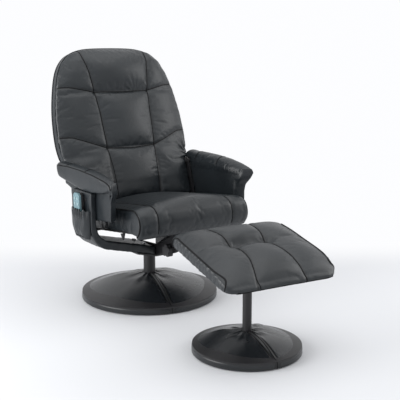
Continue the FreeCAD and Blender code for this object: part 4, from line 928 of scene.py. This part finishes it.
hold = held_at(spots[:, [0, 2]], BACK_SEAMS, BACK_HOLD) * front
hold = np.maximum(hold, (spots[:, 1] > BOARD_FACE) * 1.0)
swell(back, hold, pressure=4.0, slack=0.010, cap=0.014)
flat = in_back(points_of(back))[:, [0, 2]]
share = sewn(back, flat, BACK_SEAMS, front, depth=0.003, width=0.0045, pucker=0.0002, pitch=0.03)
# The hide darkens along these seams: a dark seam line with painted shade in the grooves.
mark_sewn(back, share)
front = np.clip(front - share, 0, 1)
gathered(back, flat, front, centre=(0.29, 0.028), reach=0.09, folds=14, turn=0.4, amount=0.0038)
gathered(back, flat, front * (flat[:, 1] > PILLOW_FOOT),
         centre=(0.068, 0.30), reach=0.075, folds=17, turn=0.1, amount=0.0017)
gathered(back, flat, front, centre=(-0.232, 0.07), reach=0.03, folds=2, turn=1.2, amount=0.0012)


def s_curve(share):
    """A share from 0 to 1, eased at both ends."""
    return share ** 2 * (3 - 2 * share)


SPREAD_RUN = 0.07
FULL_START = 0.12
FULL_RUN = 0.13
DROP_START = 0.07
DROP_RUN = 0.05


def spread(piece, start, share, fuller, drop):
    """Widen the back below its pivot, fill its sides round the hinge plates, and lower its edge."""
    own = in_back(points_of(piece))
    low_part = s_curve(ramp(-own[:, 2], -start, SPREAD_RUN))
    outer = s_curve(ramp(np.abs(own[:, 0]), FULL_START, FULL_RUN))
    own[:, 0] *= 1 + share * low_part
    own[:, 1] -= fuller * low_part * outer
    own[:, 2] -= drop * ramp(-own[:, 2], DROP_START, DROP_RUN)
    put_points(piece, own @ TO_BACK + PIVOT)


spread(back, start=0.062, share=0.075, fuller=0.034, drop=0.018)
finer(back)
upholstered(back, "back", "back_cushion")
back_routes = []
for line in BACK_SEAMS:
    marks = [np.array([x, -0.2, z]) for x, z in stepped(line)]
    back_routes.append([(mark @ TO_BACK + PIVOT, TO_BACK[1]) for mark in marks])
stitched("back_thread", "back", back, back_routes)
rear = skin_of("back_panel", "back_rear", 0.006)
soften(rear, 5)
spread(rear, start=-0.06, share=0.14, fuller=0.0, drop=0.0)
creased(rear, amount=0.0007, size=0.16, seed=1.1)
finer(rear)
upholstered(rear, "back", "back_panel")

# Boxing: the strip of hide that closes the back's edge over the board, with a piped cord at its rear.
BACK_EDGE = [(0.232, -0.105), (0.239, -0.055), (0.243, 0.0), (0.268, 0.025), (0.287, 0.045),
             (0.297, 0.085), (0.3, 0.139), (0.294, 0.228), (0.282, 0.3), (0.258, 0.395),
             (0.232, 0.446), (0.196, 0.482), (0.145, 0.501), (0.08, 0.508)]
BOX_FRONT = 0.044
BOX_REAR = 0.072
BOX_WALL = 0.004
BOX_INSET = 0.997
BOX_STEPS = 4
PIPE_RADIUS = 0.0036
edge_loop = np.array([(-x, z) for x, z in BACK_EDGE] + list(reversed(BACK_EDGE)))


def smooth_curve(name, path, resolution):
    """An open curve drawn smoothly near a row of points."""
    curve = bpy.data.curves.new(name, "CURVE")
    curve.dimensions = "3D"
    curve.resolution_u = resolution
    line = curve.splines.new("NURBS")
    line.points.add(len(path) - 1)
    for point, spot in zip(line.points, path):
        point.co = (*spot, 1)
    line.order_u = 3
    line.use_endpoint_u = True
    return curve


box_line = [(x * BOX_INSET, BOX_FRONT, z) for x, z in edge_loop]
boxing = as_mesh("back_boxing", smooth_curve("boxing_line", box_line, 8))
bpy.ops.object.mode_set(mode="EDIT")
bpy.ops.mesh.select_all(action="SELECT")
for step in range(BOX_STEPS):
    bpy.ops.mesh.extrude_edges_move(
        TRANSFORM_OT_translate={"value": (0, (BOX_REAR - BOX_FRONT) / BOX_STEPS, 0)})
bpy.ops.mesh.select_all(action="SELECT")
bpy.ops.mesh.normals_make_consistent(inside=False)
bpy.ops.object.mode_set(mode="OBJECT")
put_points(boxing, points_of(boxing) @ TO_BACK + PIVOT)
modified(boxing, "SOLIDIFY", thickness=BOX_WALL, offset=0)
bpy.ops.object.shade_smooth_by_angle(angle=math.radians(40))
finished(boxing, upholstery, "back", "hide")
pipe_line = np.array([(x, BOX_REAR, z) for x, z in edge_loop]) @ TO_BACK + PIVOT
cord = smooth_curve("back_piping_rear", pipe_line, 6)
cord.bevel_depth = PIPE_RADIUS
cord.bevel_resolution = 3
cord.use_fill_caps = True
piping = as_mesh("back_piping_rear", cord)
bpy.ops.object.shade_smooth()
finished(piping, piping_hide, "back", "hide")

# Footstool top: a pad on a board, its cover rolled over both ends and drawn down at two tufts.
# Flat side panels are piped to it, and two fine beads close the cover under the near edge.
STOOL_YAW = math.radians(-5.7)
STOOL_AT = np.array([-0.067, -0.716, 0.30587])
FROM_STOOL = np.array([[math.cos(STOOL_YAW), -math.sin(STOOL_YAW), 0],
                       [math.sin(STOOL_YAW), math.cos(STOOL_YAW), 0],
                       [0, 0, 1]]) @ tipped(math.radians(12.9))
PAD_SHIFT = np.array([0.015, -0.010, 0.0])


def in_stool(spots):
    """Points in the tilted top's own frame, from the middle of its pad."""
    return (spots - STOOL_AT) @ FROM_STOOL - PAD_SHIFT


def in_stool_place(origin, toward):
    return FROM_STOOL @ (origin + PAD_SHIFT) + STOOL_AT, FROM_STOOL @ toward


TUFT_X = 0.066
TUFT_Y = 0.03
STOOL_SEAMS = [[(-0.088, 0.2), (-0.074, 0.09), (-TUFT_X, TUFT_Y), (-0.067, -0.03), (-0.074, -0.08),
                (-0.09, -0.13), (-0.112, -0.2)],
               [(0.088, 0.2), (0.074, 0.09), (TUFT_X, TUFT_Y), (0.071, -0.05), (0.075, -0.1),
                (0.075, -0.15), (0.072, -0.2)],
               [(-TUFT_X, TUFT_Y), (TUFT_X, TUFT_Y)]]
PAD_SIDE = 0.2125
PAD_PROFILE = [(0.146, 0.011), (0.163, 0.016), (0.1685, 0.029), (0.162, 0.043), (0.142, 0.0495),
               (0.08, 0.051), (0.0, 0.0515), (-0.08, 0.051), (-0.142, 0.0495), (-0.162, 0.043),
               (-0.170, 0.029), (-0.164, 0.016), (-0.147, 0.011)]
STOOL_HOLD = 0.007
pad_pipe = np.array([(-PAD_SIDE, y, z) for y, z in PAD_PROFILE])
stool = skin_of("stool_cushion", "stool_pad", 0.005)
soften(stool, 4)
spots = in_stool(points_of(stool))
facing = normals_of(stool) @ FROM_STOOL
top_side = np.clip((facing[:, 2] + 0.25) * 3, 0, 1) * (np.abs(facing[:, 0]) < 0.7)
hold = np.maximum((facing[:, 2] < -0.6) * 1.0, held_at(spots[:, :2], STOOL_SEAMS, STOOL_HOLD) * top_side)
hold = np.maximum(hold, held_at(np.c_[-np.abs(spots[:, 0]), spots[:, 1:]], [pad_pipe], STOOL_HOLD))
swell(stool, hold, pressure=4.0, slack=0.009, cap=0.010)
ROLL_DROP = 0.036
FAR_DROP = 0.006
VALLEY_DEPTH = 0.023
VALLEY_Y = 0.042
VALLEY_WIDTH = 0.026
RIGHT_CORNER = 0.022
LEFT_CORNER = -0.004
WRINKLE_DEPTH = 0.0016
WRINKLE_PITCH = 0.021
spots = in_stool(points_of(stool))
from_middle = np.abs(spots[:, 0])
height = ramp(spots[:, 2], 0.01, 0.055)
near = np.minimum(ramp(-spots[:, 1], 0.035, 0.148), 0.97)
roll = 1 - np.sqrt(1 - near ** 2)
far = ramp(spots[:, 1], 0.03, 0.16)
valley = bell(spots[:, 1] - VALLEY_Y, VALLEY_WIDTH) * (1 - ramp(from_middle, 0.05, 0.05))
spots[:, 2] -= height * (ROLL_DROP * roll + FAR_DROP * far ** 2 + VALLEY_DEPTH * valley)
corner = ramp(from_middle, 0.15, 0.067) * ramp(-spots[:, 1], 0.12, 0.07)
spots[:, 0] -= np.where(spots[:, 0] > 0, RIGHT_CORNER, LEFT_CORNER) * corner
side_wall = ramp(np.abs(spots[:, 0]), 0.208, 0.004)
wrinkle = np.cos(spots[:, 1] * 2 * math.pi / WRINKLE_PITCH + 1.6 * np.sin(spots[:, 1] * 37))
wrinkle *= np.sin(math.pi * height)
spots[:, 0] += np.sign(spots[:, 0]) * WRINKLE_DEPTH * side_wall * wrinkle
put_points(stool, (spots + PAD_SHIFT) @ FROM_STOOL.T + STOOL_AT)
soften(stool, 5)
flat = in_stool(points_of(stool))[:, :2]
share = sewn(stool, flat, STOOL_SEAMS, top_side, depth=0.003, width=0.0045, pucker=0.0003, pitch=0.028)
# The hide darkens along these seams: a dark seam line with painted shade in the grooves.
mark_sewn(stool, share)
for x in (-TUFT_X, TUFT_X):
    gathered(stool, flat, top_side * (1 - share),
             centre=(x, TUFT_Y), reach=0.04, folds=9, turn=x * 20, amount=0.0012)
finer(stool)
upholstered(stool, "stool_top", "stool_cushion")
FLAT_HALF = 0.166
stool_routes = []
for line in STOOL_SEAMS[:2]:
    marks = [(x, y) for x, y in stepped(line) if abs(y) < FLAT_HALF]
    roll_rays = rolled_rays(marks[-1][0], (-FLAT_HALF, -0.168), (-FLAT_HALF, 0.032), -35, in_stool_place)
    stool_routes.append(down_rays(marks, in_stool_place) + roll_rays)
stool_routes.append(down_rays(stepped(STOOL_SEAMS[2]), in_stool_place))
stitched("stool_thread", "stool_top", stool, stool_routes)
edge_routes = [edge_arc(side, (0.188, 0.137, 0.03), np.linspace(-40, 80, 16), -1, in_stool_place)
               + edge_run(side, 0.205, np.linspace(0.13, -0.11, 40), 0.042, in_stool_place)
               + edge_arc(side, (0.176, -0.132, 0.024), np.linspace(80, -40, 20), 1, in_stool_place)
               for side in (-1, 1)]
foot_routes = [[in_stool_place(np.array([x, -0.3, height]), np.array([0, 1.0, 0]))
                for x in np.linspace(-0.18, 0.18, 50)]
               for height in (0.0125, 0.0185)]
stitched("stool_piping_sides", "stool_top", stool, edge_routes, BEAD_RADIUS, piping_hide, 8)
stitched("stool_piping_foot", "stool_top", stool, foot_routes, FOOT_BEAD_RADIUS, piping_hide)
